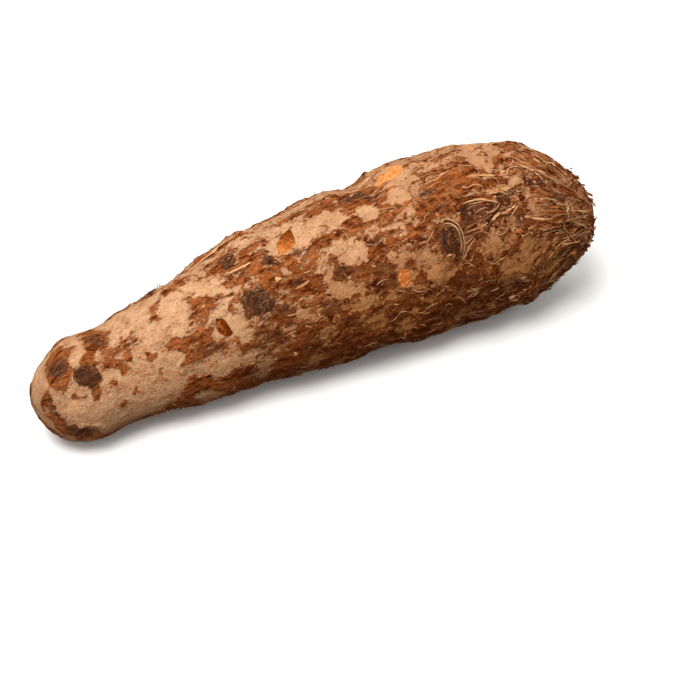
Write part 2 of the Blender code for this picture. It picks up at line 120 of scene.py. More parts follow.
# Brown husk that still clings: along, round, half length and half width in mm. A fifth value is the
# mark's strength, below 1 for a thin and broken one, and a sixth is its slant in degrees.
HUSK_MARKS = (
    # Small end: a round patch, a band down to the heel bud, and the collar of the round bud.
    (9.6, -3, 4.3, 4.6), (8.6, 14, 4.2, 4.6), (7.0, 28, 3.0, 3.2), (12.4, -9, 2.2, 2.8),
    (2.6, 40, 1.8, 1.9), (2.5, 54, 2.2, 2.3), (2.5, 70, 2.6, 2.7), (3.1, 88, 3.0, 3.0),
    (5.0, 102, 3.2, 3.1), (7.6, 110, 3.3, 3.2), (10.6, 119, 3.6, 3.6), (13.4, 130, 3.0, 3.2),
    (14.4, 37.5, 2.8, 2.9), (17.6, 36, 1.6, 2.8), (17.6, 46, 1.7, 3.0), (16.0, 55, 1.6, 1.8),
    (17.0, 26, 1.9, 1.5), (19.5, 20, 1.4, 1.2), (26.0, -12, 4.6, 3.0), (24.0, 2, 4.4, 3.0),
    (21.6, 11, 2.2, 1.8), (24.5, -29, 3.6, 2.4), (23.0, 34, 4.0, 3.6, 0.42), (27.0, 22, 4.0, 2.6, 0.5),
    (32.5, 27, 4.0, 2.2, 0.45), (27.5, 45, 1.7, 2.0), (25.0, 39, 2.2, 0.9, 0.7, 15), (23.2, 57, 1.0, 0.9),
    (30.0, 38, 1.2, 0.9), (32.0, 14, 0.8, 0.9), (9.6, 54, 0.9, 0.8), (11.4, 56, 1.5, 1.2, 0.5),
    (37.2, 47, 1.0, 1.2), (38.4, 51, 1.1, 0.9), (23.4, 84, 1.2, 1.0), (28.0, 76, 1.2, 0.8, 0.7),
    (44.6, 9, 1.3, 2.8), (47.5, 2, 1.5, 0.8), (20.0, 70, 5.0, 4.0, 0.24), (36.0, 62, 6.0, 5.0, 0.2),
    # Neck and shoulder.
    (49.0, -28, 3.0, 1.5), (54.0, -6, 4.2, 1.6), (58.5, -12, 4.0, 1.2), (67.0, -25, 9.0, 1.2),
    (78.0, -23, 7.0, 1.6), (61.8, 2, 1.6, 0.9), (57.8, 18, 1.8, 1.2), (58.0, 26, 3.4, 2.5),
    (63.5, 27, 2.8, 1.0, 1, -12), (65.0, 31, 3.0, 0.9, 1, -12), (54.0, 36, 2.6, 2.8),
    (56.0, 43, 2.0, 2.8), (45.8, 47, 2.6, 1.7), (48.6, 52, 2.8, 2.0), (52.0, 58, 4.0, 2.8),
    (57.0, 65, 5.0, 1.9), (48.0, 64, 2.4, 0.9), (70.0, -8, 2.0, 1.1), (74.0, -3, 2.4, 1.9),
    (73.0, 7, 1.7, 2.2), (67.8, 0, 2.6, 1.3), (68.8, 7, 2.3, 1.1), (77.8, 3, 4.0, 1.2),
    (83.5, 3, 3.0, 1.1), (86.0, 0, 2.3, 1.6), (70.6, 20, 0.9, 2.2), (79.0, 18, 4.8, 5.0),
    (84.0, 19, 2.2, 4.0), (75.0, 29, 3.0, 2.8), (74.0, 44, 4.8, 4.8), (80.0, 41, 3.4, 5.0),
    (66.6, 41, 1.5, 1.1, 1, 20), (76.0, 62, 3.0, 2.0), (81.0, 53, 3.0, 3.2), (74.0, 73, 5.0, 2.8),
    (71.0, 66, 1.4, 1.5), (83.0, 66, 3.0, 3.6), (66.0, 76, 3.0, 1.3), (60.0, 10, 6.0, 4.0, 0.15),
    (50.0, 45, 6.0, 5.0, 0.3), (69.9, 54, 1.8, 2.2, 0.8), (61.1, 35, 2.6, 1.6, 0.8),
    (68.0, 30, 4.0, 6.0, 0.35), (64.0, 62, 4.0, 3.0, 0.3), (67.6, 21, 2.2, 1.0), (84.9, 37, 1.6, 2.0),
    # Middle.
    (85.8, 25, 1.4, 3.0), (90.0, 26, 2.5, 2.5), (95.5, 22, 3.2, 1.1), (94.5, 29, 3.2, 2.1),
    (92.0, 35, 2.6, 1.7), (97.5, 35, 1.1, 1.0), (89.0, 42, 3.8, 1.7, 1, -15), (94.5, 44, 3.6, 1.3),
    (86.5, 50, 3.0, 1.2), (95.0, 58, 2.6, 2.4), (93.0, 50, 1.2, 1.1), (97.5, 69, 5.0, 2.6),
    (102.5, 20, 4.2, 2.3), (101.0, 27, 3.4, 2.1), (105.5, 17, 2.2, 2.3), (99.5, 32, 1.5, 1.3),
    (103.5, 39, 3.2, 1.6), (104.5, 49, 3.8, 2.9), (108.0, 53, 2.4, 2.2), (111.0, 47, 1.1, 1.5),
    (112.0, -10, 8.0, 3.4), (104.0, -15, 8.0, 1.6, 0.9), (121.0, -6, 7.0, 3.8), (127.0, -11, 7.0, 2.4),
    (117.0, 5, 3.0, 1.5), (126.0, 2, 4.0, 2.8), (131.0, -6, 3.6, 1.1), (128.5, 8, 3.4, 1.5),
    (114.0, 13, 4.4, 1.7), (115.5, 21, 4.4, 2.5), (110.5, 30, 2.6, 0.8), (125.5, 21, 2.6, 3.6),
    (117.5, 33, 3.6, 1.7), (119.5, 39, 4.6, 2.2), (118.5, 29, 1.6, 0.9), (114.5, 43, 2.0, 0.9),
    (113.5, 51, 3.0, 1.6), (118.0, 53, 3.6, 2.5), (112.0, 58, 2.4, 0.9), (117.0, 66, 6.0, 2.8),
    (92.0, 55, 5.0, 4.0, 0.3), (95.5, 34, 1.8, 2.4), (90.2, 63, 2.4, 2.4, 0.9), (107.9, 23, 1.2, 2.2),
    (111.5, -3, 2.4, 1.2, 0.8), (121.2, 45, 2.0, 1.2, 0.8),
    # Belly to the ringed bud.
    (132.7, 31, 2.6, 3.2, 0.8), (127.4, 42, 1.8, 2.0, 0.8), (137.1, 62, 3.6, 2.4, 0.7),
    (125.6, 58, 1.8, 1.4, 0.8), (168.2, 55, 3.6, 3.0, 0.6), (164.6, 72, 3.0, 2.4, 0.6),
    (132.7, 1, 2.0, 1.0, 0.7), (123.8, 35, 2.8, 3.2), (127.5, 41, 2.0, 1.1), (131.0, 46, 3.4, 2.5),
    (135.0, 41, 3.0, 1.3), (138.5, 46, 2.3, 2.2), (139.5, 31, 4.0, 2.6), (144.0, 34, 3.0, 2.1),
    (137.0, 36, 2.4, 1.5), (143.0, 19, 3.0, 2.2), (141.0, 25, 3.0, 1.9), (144.6, 5, 1.7, 1.8),
    (149.0, 10, 2.6, 1.4), (147.5, 6, 2.4, 1.3), (152.0, 20, 6.0, 7.5), (158.0, 30, 7.0, 8.0),
    (153.0, 36, 6.0, 4.0), (152.0, 3, 5.0, 1.9), (160.5, 10, 2.4, 2.0), (156.0, -8, 4.0, 1.1),
    (148.0, -15, 5.0, 1.0), (169.4, -3, 1.5, 1.6, 2.2), (163.0, 24, 3.6, 4.0), (170.0, 22, 5.0, 4.0),
    (175.0, 8, 3.4, 1.5), (179.0, 18, 3.0, 1.9), (143.0, 54, 5.2, 6.2), (159.0, 47, 8.0, 2.8),
    (170.0, 45, 7.0, 2.7), (154.5, 40, 4.0, 2.0), (173.0, 33, 5.5, 2.6), (152.5, 57, 3.4, 2.4),
    (178.0, 54, 2.8, 4.0), (176.0, 66, 4.0, 2.0), (169.5, 72, 3.4, 1.7), (151.5, 64, 3.0, 1.2),
    (148.0, 78, 8.0, 5.0), (155.0, 84, 5.0, 5.0), (143.0, 88, 7.0, 5.0), (150.0, 97, 10.0, 5.0),
    (157.0, 76, 2.6, 3.0), (127.6, 67, 1.5, 1.9), (128.0, 84, 6.0, 3.0), (172.0, 104, 6.0, 1.7),
    (177.0, 98, 4.0, 1.9), (166.0, 112, 7.0, 1.9), (160.0, 104, 4.0, 1.9), (178.0, 112, 5.0, 1.9),
    (162.0, 58, 6.0, 3.0, 0.4),
    # Crown.
    (179.5, -14, 3.4, 3.4), (184.0, -8, 6.0, 3.0), (180.0, -25, 6.0, 4.0), (186.0, 8, 6.0, 3.6),
    (191.0, -5, 5.0, 3.0), (194.0, -20, 5.0, 3.0), (188.0, 22, 4.6, 3.4), (184.0, 20, 4.0, 2.9),
    (194.0, 12, 4.0, 2.6), (190.0, 34, 4.4, 2.6), (196.0, 36, 4.0, 4.0), (192.0, 46, 3.6, 3.2),
    (180.0, 33, 3.4, 2.4), (180.5, 44, 3.4, 3.0), (184.0, 57, 3.4, 2.5), (198.0, 25, 3.0, 2.5),
    (190.5, 63, 4.0, 3.0), (196.0, 62, 3.6, 3.8), (192.5, 75, 2.5, 1.9), (198.5, 84, 3.6, 4.6),
    (197.4, 100, 3.2, 6.0), (196.6, 120, 3.0, 6.0), (191.0, 90, 2.4, 1.3), (187.5, 96, 2.0, 0.9),
    (203.0, 50, 2.5, 4.0), (202.0, 80, 2.4, 4.0),
)

# Cork that shows bare, in the same way.
BARE_MARKS = (
    (63.0, 13, 3.8, 3.4), (66.0, 22, 3.4, 2.6), (50.0, 24, 5.0, 6.0), (63.0, 50, 6.0, 5.5),
    (66.5, 60, 4.0, 3.0), (90.0, 5, 3.2, 3.2), (99.0, 8, 4.6, 4.4), (106.0, 5, 5.0, 2.6),
    (84.9, 13, 1.9, 2.2), (103.5, 15, 2.2, 2.4), (111.5, 12, 2.0, 1.8), (107.9, 43, 2.6, 1.8, 0.8),
    (114.1, 48, 2.6, 1.4, 0.8), (113.2, 40, 1.8, 1.6, 0.8), (101.7, 52, 1.6, 1.4, 0.6),
    (59.3, 3, 2.2, 1.8, 0.7), (169.1, 13, 3.0, 2.4), (160.2, 6, 2.2, 1.8, 0.8), (178.8, 4, 2.6, 2.4, 0.7),
    (180.5, 25, 1.8, 1.8, 0.7), (98.5, 37, 2.6, 2.4), (101.0, 61, 3.6, 2.6), (88.5, 61, 2.8, 3.4),
    (107.5, 35, 4.6, 3.2), (112.0, 39, 3.0, 2.2), (121.0, 13, 2.0, 3.2), (133.5, 18, 2.4, 8.0),
    (138.0, -6, 6.5, 4.6), (124.0, 29, 2.4, 1.2), (128.0, 53, 3.6, 2.2, 0.4), (132.0, 62, 3.4, 3.0, 0.45),
    (135.0, 72, 4.0, 3.0, 0.4), (167.0, -10, 6.0, 5.6), (166.0, 4, 3.4, 3.4), (163.0, 62, 3.2, 4.0, 0.4),
    (168.0, 60, 3.0, 3.0, 0.2), (166.0, 84, 4.0, 5.0, 0.4), (174.0, 84, 6.0, 4.0, 0.5),
    (182.0, 79, 4.0, 4.4, 0.6), (183.0, 66, 2.8, 2.8, 0.5), (183.5, 31, 3.8, 2.4, 0.8),
    (186.5, 47, 2.2, 1.9, 0.9), (188.0, 84, 3.0, 3.0, 0.5), (178.0, 28, 2.4, 1.3), (160.0, 68, 2.4, 2.4),
    (90.0, -12, 5.0, 2.0), (148.0, -4, 4.0, 2.2),
)

# Husk that has gone grey or nearly black, in the same way.
GLOOM_MARKS = (
    (8.6, 6, 3.2, 3.0, 0.75), (8.6, 16, 2.4, 2.4, 0.7), (4.0, 60, 2.0, 3.4, 0.85),
    (7.0, 90, 3.0, 3.4, 0.85), (10.0, 108, 4.0, 3.4, 0.95), (15.0, 41, 3.4, 3.6, 0.9),
    (73.0, 1, 3.0, 3.0, 0.8), (84.6, 18, 2.4, 3.6, 0.55), (74.0, 45, 4.2, 4.2, 0.95),
    (80.0, 50, 3.0, 3.0, 0.5), (84.0, 62, 3.0, 3.4, 0.8), (74.0, 73, 5.0, 3.0, 0.7),
    (56.0, 64, 5.0, 2.0, 0.45), (97.5, 69, 5.0, 2.6, 0.7), (95.5, 22, 3.0, 1.3, 0.7),
    (89.0, 44, 4.0, 1.6, 0.5, -15), (104.5, 49, 3.4, 2.4, 0.5), (117.0, 66, 6.0, 3.0, 0.9),
    (118.0, 53, 3.6, 2.4, 0.45), (118.0, 37, 4.0, 2.0, 0.45), (121.0, -6, 6.0, 2.4, 0.7),
    (126.0, 3, 3.0, 2.2, 0.5), (131.0, 47, 3.0, 2.0, 0.45), (143.0, 18, 3.0, 1.6, 0.6),
    (144.0, 33, 2.0, 1.3, 0.6), (142.0, 54, 4.6, 5.6, 0.9), (157.0, 48, 7.0, 3.2, 1.1),
    (155.0, 39, 4.0, 2.2, 1.0), (168.0, 43, 7.0, 2.8, 1.0), (173.0, 33, 6.0, 2.8, 0.9),
    (152.5, 57, 3.0, 2.0, 0.8), (176.5, 53, 2.8, 3.2, 0.65), (177.0, 65, 3.0, 2.0, 0.5),
    (149.0, 80, 8.0, 6.0, 0.55), (152.0, 96, 10.0, 6.0, 0.8), (188.0, 22, 4.0, 3.0, 0.8),
    (196.0, 36, 3.6, 2.4, 0.6), (170.0, 106, 7.0, 3.0, 0.5), (24.0, 0, 4.0, 3.4, 0.5),
)

# Fresh orange places where the cork is chipped: brightness, how much brighter the crown's side and the
# front side are, and the corners, each along and round.
CHIPS = (
    (0.36, -0.22, 0.40, ((96.4, -1.5), (95.5, 12), (91.9, 18), (88.4, 18), (89.3, 9), (92.8, 0))),
    (-0.02, -0.30, -0.10, (
        (60.2, 42), (62.8, 43.5), (63.0, 50), (63.9, 57), (62.8, 60), (61.1, 60), (59.3, 52.5), (59.2, 45))),
    (0.68, 0.00, -0.10, (
        (122.1, 60), (123.9, 58.5), (125.6, 61.5), (125.6, 67.5), (123.9, 72), (122.1, 72), (121.2, 66))),
    (0.96, 0.00, 0.00, (
        (130.6, -12), (134.6, -19), (141.2, -23), (143.4, -18), (142.6, -11), (138.4, -9), (131.4, -7.5))),
    (0.80, 0.00, 0.00, ((57.6, 25.5), (59.2, 25.8), (59.4, 28.4), (57.9, 28.8))),
    (0.30, 0.00, 0.10, ((25.9, 43.5), (27.6, 40.5), (28.5, 45), (28.5, 54), (25.9, 54))),
    (0.60, 0.00, 0.20, ((98.6, 160), (101.5, 158), (103.8, 163), (102.6, 169), (99.4, 171))),
    (0.70, 0.10, 0.00, ((56.0, 232), (58.2, 229), (60.4, 234), (59.6, 240), (57.0, 241))),
)

# Strands seen lying on the husk: along, round, then the same for their far end, and how many side by side.
STRAND_BUNDLES = (
    (153.1, 34.5, 167.3, 37.5, 5), (162.9, 31.5, 177.0, 31.0, 3), (161.1, 30.0, 178.0, 31.5, 4),
    (174.4, 6.0, 194.7, 19.5, 4), (178.8, 10.5, 191.8, 19.5, 3), (187.2, 13.5, 196.1, 19.5, 2),
    (170.8, 21.0, 177.9, 22.5, 3), (166.4, 47.0, 177.0, 45.0, 3), (150.5, 52.5, 160.0, 50.0, 4),
    (184.7, 54.0, 194.0, 57.0, 5), (186.0, 43.5, 193.0, 42.0, 3), (144.2, 12.0, 154.0, 9.0, 2),
    (127.4, -1.5, 138.0, -6.0, 3), (117.6, 27.0, 122.6, 28.5, 2), (87.5, 46.5, 93.0, 44.0, 2),
    (70.5, 12.0, 79.0, 16.0, 3), (62.0, -24.0, 84.0, -22.0, 4), (100.0, -22.0, 118.0, -24.0, 3),
    (122.0, -24.0, 140.0, -22.0, 3), (158.0, 17.0, 170.0, 22.0, 2),
    (197.4, 45.0, 199.8, 33.0, 3), (199.2, 33.0, 200.3, 55.5, 3), (198.0, 60.0, 204.0, 73.5, 4),
)

# Sheath rims round buds: along, round, reach along and across in mm, first and last degrees, fibres, breadth.
SHEATHS = (
    (142.5, 54, 6.1, 7.2, -112, 70, 9, 0.95), (142.5, 54, 4.4, 5.6, -95, 62, 9, 1.05),
    (142.5, 55, 3.0, 3.9, 120, 205, 3, 0.20), (14.4, 37.5, 3.3, 3.4, 150, 235, 3, 0.35),
    (122.0, -68, 5.6, 6.0, -110, 80, 7, 0.8),
    (166.4, 236, 6.2, 6.6, -100, 90, 8, 0.9), (70.0, 252, 4.8, 5.4, -110, 60, 6, 0.7),
)

# Fibres that arch off the crown: along, round, the same for their far end, and their rise in mm.
# Each is drawn as some fibres side by side, and the first few fibres are thick and dark.
CROWN_LOOPS = (
    (204.0, 84.0, 199.5, 112.0, 3.2), (203.6, 92.0, 198.0, 116.0, 2.3), (202.5, 96.0, 199.0, 120.0, 1.2),
    (198.0, 55.0, 203.0, 80.0, 0.7), (197.0, 60.0, 199.0, 96.0, 0.5), (201.0, 250.0, 192.0, 215.0, 2.2),
    (200.0, 20.0, 204.0, 60.0, 0.6), (202.0, -20.0, 197.0, 12.0, 0.8), (197.4, 45.0, 199.8, 33.0, 0.5),
    (199.2, 33.0, 200.3, 55.5, 0.5), (198.6, 36.0, 200.3, 64.5, 0.6),
)
LOOP_FIBRES, THICK_FIBRES = 3, 6

# The lowest places that the listed marks describe: along, and degrees round at each.
SEEN_ALONG, SEEN_LOWEST = (34.0, 48.0, 128.0, 148.0, 172.0), (122.0, 76.0, 74.0, 100.0, 116.0)

# In mm: how far apart places are taken to find the way along the skin, and their gap from the tips.
NEARBY, TIP_GAP = 0.4, 0.05

# A mark fades over this share of its size on both sides of its edge, and reaches this deep in mm.
MARK_SOFTNESS, MARK_DEPTH = 0.75, 8.0

# In mm: how far outside a chip its depth is worked out, and how far strands and sheets sink there.
CHIP_MARGIN, CHIP_SINK = 2.0, 0.9

# A bud's dome: how flat its top is, and how deep in mm its rim stands in the skin.
DOME_FLATNESS, BUD_FOOT = 2.2, 0.30

# Thickness in metres of a bud's scales, and of papery sheets.
SCALE_THICKNESS, SHEET_THICKNESS = 0.00010, 0.00009

# Tones between pale, 0, and dark, 1, of the buds' bristles and of other hairs.
BRISTLE_TONE, HAIR_TONE = 0.72, 0.45

# Each operator that draws random numbers has a seed of its own.
BUD_SEED, STRAND_SEED, FRINGE_SEED, HAIR_SEED, FLAKE_SEED = 7, 23, 59, 31, 47

# Lights: name, place, width in metres and power in watts.
LIGHTS = (
    ("key_light", (-0.45, -0.35, 1.15), 0.7, 16.6),
    ("fill_light", (0.9, -0.7, 0.6), 1.1, 3.4),
    ("side_light", (-0.9, -0.35, 0.35), 0.8, 2.6),
    ("back_light", (-0.1, 0.8, 0.9), 0.8, 5.0),
)
ROOM_BELOW, ROOM_ABOVE, ROOM_STRENGTH = (0.16, 0.09, 0.05, 1.0), (1.0, 0.99, 0.97, 1.0), 0.55
FLOOR_SIZE, FLOOR_ROUGHNESS, SENSOR_WIDTH, NEAREST_SEEN = 4.0, 0.9, 36.0, 0.01

# What is known of places on the skin: where they are in metres, the way out, how much husk clings, how
# grey it is, the depth in a chip and its brightness, how low they are, which sets painted shade on the
# sides and underside, their place in the grain in metres, and how fibrous and how loose the husk is.
Spot = namedtuple("Spot", "where out husk gloom chip fresh low grain fibrous loose")


def from_screen(red, green, blue):
    """Scene-linear values of a colour that is named by its 0 to 255 screen values."""
    values = []
    for part in (red, green, blue):
        share = part / 255.0
        values.append(share / 12.92 if share <= 0.04045 else ((share + 0.055) / 1.055) ** 2.4)
    return tuple(values)


def fade(low, high, value):
    """Goes smoothly from 0 at low to 1 at high."""
    t = np.clip((value - low) / (high - low), 0.0, 1.0)
    return t * t * (3.0 - 2.0 * t)


def wrapped(degrees):
    """Degrees brought into the span from -180 to 180."""
    return (degrees + 180.0) % 360.0 - 180.0


def unit(ways):
    """Rows of ways, each brought to length 1."""
    return ways / np.maximum(np.linalg.norm(ways, axis=-1, keepdims=True), 1e-9)


def unevenness(places, size, stretch=1.0, shift=0.0):
    """Smooth noise from about -1 to 1, with lumps of a size in mm, longer along the root by stretch."""
    scaled = places / (size * stretch, size, size) + shift
    return np.array([noise.noise(place) for place in scaled.tolist()]) * 1.6


def pushed_about(straight):
    """Places moved to and fro by noise, so that a drawn mark gets a torn outline."""
    moved = straight
    for size, reach in ((6.5, 1.05), (2.7, 0.80), (1.3, 0.45)):
        ways = [unevenness(straight, size, stretch=1.4, shift=size + 31.0 * way) for way in range(3)]
        moved = moved + np.stack(ways, axis=1) * reach
    return moved


# The root's form.

def line_points():
    """The stations, with the tips of both ends added."""
    stations = np.array(STATIONS)
    middles, radii = stations[:, :3], stations[:, 3]
    turn, rise = math.radians(CROWN_TURN), math.radians(CROWN_RISE)
    crownwards = np.array((math.cos(turn) * math.cos(rise), math.sin(turn) * math.cos(rise), math.sin(rise)))
    small_tip = middles[0] + unit(middles[0] - middles[1]) * SMALL_END_REACH
    crown_tip = middles[-1] + crownwards * CROWN_REACH
    first = np.append(small_tip, radii[0])
    last = np.append(crown_tip, radii[-1] - 3.0)
    return np.vstack((first, stations, last))


LINE = line_points()
KNOTS = np.concatenate(((0.0,), np.cumsum(np.linalg.norm(np.diff(LINE[:, :3], axis=0), axis=1))))
LENGTH = float(KNOTS[-1])


def read_line(along):
    """Middle, radius and direction of the root's line at distances along it."""
    slopes = np.gradient(LINE, KNOTS, axis=0)
    piece = np.clip(np.searchsorted(KNOTS, along, side="right") - 1, 0, len(KNOTS) - 2)
    length = (KNOTS[piece + 1] - KNOTS[piece])[:, None]
    t = (along - KNOTS[piece])[:, None] / length
    start, end = LINE[piece], LINE[piece + 1]
    leave, arrive = slopes[piece] * length, slopes[piece + 1] * length
    values = (
        (2 * t**3 - 3 * t**2 + 1) * start
        + (t**3 - 2 * t**2 + t) * leave
        + (3 * t**2 - 2 * t**3) * end
        + (t**3 - t**2) * arrive
    )
    ways = (
        (6 * t**2 - 6 * t) * (start - end)
        + (3 * t**2 - 4 * t + 1) * leave
        + (3 * t**2 - 2 * t) * arrive
    )
    return values[:, :3], values[:, 3], unit(ways[:, :3])


def end_rounding(along):
    """How much of the radius is left at each place, as both ends round off."""
    small = np.clip((SMALL_END_REACH - along) / SMALL_END_REACH, 0.0, 1.0)
    crown = np.clip((along - LENGTH + CROWN_REACH) / CROWN_REACH, 0.0, 1.0)
    small_share = (1.0 - small**SMALL_END_BLUNTNESS) ** (1.0 / SMALL_END_BLUNTNESS)
    crown_share = (1.0 - crown**CROWN_BLUNTNESS) ** (1.0 / CROWN_BLUNTNESS)
    return small_share * crown_share


def travel_table():
    """Distances along the line, and how far over the skin from the small tip each one is."""
    along = np.linspace(0.0, LENGTH, TRAVEL_STEPS)
    radius = read_line(along)[1] * end_rounding(along)
    travel = np.concatenate(((0.0,), np.cumsum(np.hypot(np.diff(along), np.diff(radius)))))
    return along, travel


ALONG_TABLE, TRAVEL_TABLE = travel_table()


def form_relief(along, turn, straight):
    """Swellings, ring scars, plates and husk ridges of the root's form, in mm."""
    degrees = np.degrees(turn)
    height = LUMP_HEIGHT * unevenness(straight, LUMP_SIZE) + KNOB_HEIGHT * unevenness(straight, KNOB_SIZE)
    for at, around, rise, half_length, half_width in SWELLINGS:
        far = ((along - at) / half_length) ** 2 + (wrapped(degrees - around) / half_width) ** 2
        height = height + rise * np.exp(-far)
    for number, (at, step) in enumerate(RING_SCARS):
        wander = 1.6 * np.sin(turn * 2.0 + number * 1.7) + 0.9 * np.sin(turn * 5.0 + number)
        past = along - at - wander
        height = height + step * (fade(-RING_SCAR_RUN, 0.0, past) - fade(0.0, RING_SCAR_DROP, past))
    plates = fade(0.05, 0.4, unevenness(straight, PLATE_SIZE, stretch=PLATE_STRETCH))
    height = height + PLATE_HEIGHT * plates * fade(15.0, 60.0, along)
    waviness = turn * RIDGES + 2.2 * np.sin(turn * 3.0 + along / 31.0)
    ridged = 1.0 - np.abs(np.sin(waviness / 2.0)) * 1.6
    return height + fade(RIDGES_FROM, RIDGES_FULL, along) * RIDGE_HEIGHT * ridged


def plain_skin(along, turn):
    """The rounded root without relief: points, the way out from the line, and straightened places."""
    middle, radius, way = read_line(along)
    front = unit(np.cross(way, (0.0, 0.0, 1.0)))
    top = np.cross(front, way)
    outward = top * np.cos(turn)[:, None] + front * np.sin(turn)[:, None]
    radius = radius * end_rounding(along)
    straight = np.stack((along, radius * np.cos(turn), radius * np.sin(turn)), axis=1)
    return middle + outward * radius[:, None], outward, straight


def straight_frame(at, around):
    """A place on the straightened skin, with the ways along and across it there."""
    turn = math.radians(around)
    near = np.array((at, min(at + NEARBY, LENGTH - TIP_GAP), max(at - NEARBY, TIP_GAP)))
    spots = plain_skin(near, np.full(3, turn))[2]
    lengthways = unit(spots[1] - spots[2])
    across = np.array((0.0, -math.sin(turn), math.cos(turn)))
    return spots[0], lengthways, across


def marked(straight, marks):
    """Sum of marks over the skin: 1 well inside a mark, fading to 0 past its edge."""
    total = np.zeros(len(straight))
    for at, around, half_length, half_width, *rest in marks:
        strength, slant = (*rest, *(1.0, 0.0)[len(rest):])
        centre, lengthways, across = straight_frame(at, around)
        lean = math.radians(slant)
        offset = straight - centre
        u = np.abs(offset @ (lengthways * math.cos(lean) + across * math.sin(lean))) / half_length
        v = np.abs(offset @ (across * math.cos(lean) - lengthways * math.sin(lean))) / half_width
        deep = np.abs(offset @ np.cross(lengthways, across)) / MARK_DEPTH
        far = np.sqrt(u**2 + v**2 + deep**2)
        total = total + strength * (1.0 - fade(1.0 - MARK_SOFTNESS, 1.0 + MARK_SOFTNESS, far))
    return total


def chip_field(straight):
    """How deep in mm places are inside the nearest chip's corners, below 0 outside, and its brightness."""
    depth = np.full(len(straight), -CHIP_MARGIN)
    bright = np.full(len(straight), 0.5)
    for tone, crownwards, frontwards, corners in CHIPS:
        along, around = np.array(corners, float).T
        centre, lengthways, across = straight_frame(along.mean(), around.mean())
        flat = np.stack((lengthways, across), axis=1)
        ring = (plain_skin(along, np.radians(around))[2] - centre) @ flat
        offset = straight - centre
        here = offset @ flat
        inside = np.full(len(straight), np.inf)
        for start, end in zip(ring, np.roll(ring, -1, axis=0)):
            inwards = np.array((start[1] - end[1], end[0] - start[0])) / np.hypot(*(end - start))
            inwards = inwards * np.sign(inwards @ (ring.mean(axis=0) - start))
            inside = np.minimum(inside, (here - start) @ inwards)
        size = np.abs(ring).max(axis=0)
        close = np.linalg.norm(offset, axis=1) < size.max() + 2.0 * CHIP_MARGIN
        shade = tone + crownwards * here[:, 0] / size[0] + frontwards * here[:, 1] / size[1]
        bright = np.where(close & (inside > -CHIP_MARGIN), shade, bright)
        depth = np.where(close, np.maximum(depth, inside), depth)
    return depth, bright


def seen_share(along, turn):
    """1 on the side that the listed marks describe, 0 on the side they don't."""
    degrees = wrapped(np.degrees(turn))
    lowest = np.interp(along, SEEN_ALONG, SEEN_LOWEST)
    return fade(-42.0, -26.0, degrees) * (1.0 - fade(lowest - 3.0, lowest + 9.0, degrees))


def husk_cover(along, turn, straight, moved, loose):
    """Husk coverage: above 0 the husk still clings, below 0 the cork is bare."""
    placed = seen_share(along, turn)
    large = unevenness(straight, 7.0, stretch=1.5, shift=3.0)
    middling = unevenness(moved, 3.0, stretch=1.6, shift=7.0)
    small = unevenness(moved, 1.4, stretch=1.5, shift=11.0)
    drawn = np.clip(1.35 * marked(moved, HUSK_MARKS) - 1.0 * marked(moved, BARE_MARKS), -0.7, 1.1)
    bare_end = 0.5 * (1.0 - fade(30.0, 62.0, along))
    underneath = fade(60.0, 110.0, np.abs(wrapped(np.degrees(turn)))) * fade(40.0, 70.0, along)
    grown = 1.15 * large + 0.12 + 0.22 * fade(60.0, 170.0, along) + 0.18 * underneath - bare_end
    known = drawn - 0.54 + 0.18 * fade(80.0, 180.0, along) - 0.3 * bare_end
    scraps = (0.66 * middling + 0.66 * small) * loose
    return placed * (known + 0.15 * large) + (1.0 - placed) * grown + scraps


def gloom_depth(along, turn, straight, moved):
    """How grey or black the husk is, from 0 to 1."""
    placed = seen_share(along, turn)
    cloudy = unevenness(straight, 7.0, stretch=1.8, shift=19.0)
    grown = fade(0.35, 0.9, cloudy) * 0.7
    return np.clip(placed * marked(moved, GLOOM_MARKS) + (1.0 - placed) * grown, 0.0, 1.0)


def bud_collars(straight):
    """Raised rims round the buds and the hollows that they sit in, in mm."""
    height = np.zeros(len(straight))
    for at, around, radius, tall, _lean, wide, _bristles in BUDS.values():
        centre, lengthways, across = straight_frame(at, around)
        offset = straight - centre
        aside = offset @ across / wide
        deep = offset @ np.cross(lengthways, across)
        far = np.sqrt((offset @ lengthways) ** 2 + aside**2 + deep**2)
        rim = 0.35 * tall * np.exp(-(((far - radius * 1.2) / 0.9) ** 2))
        height = height + rim - 0.5 * (1.0 - fade(radius * 0.75, radius * 1.1, far))
    return height


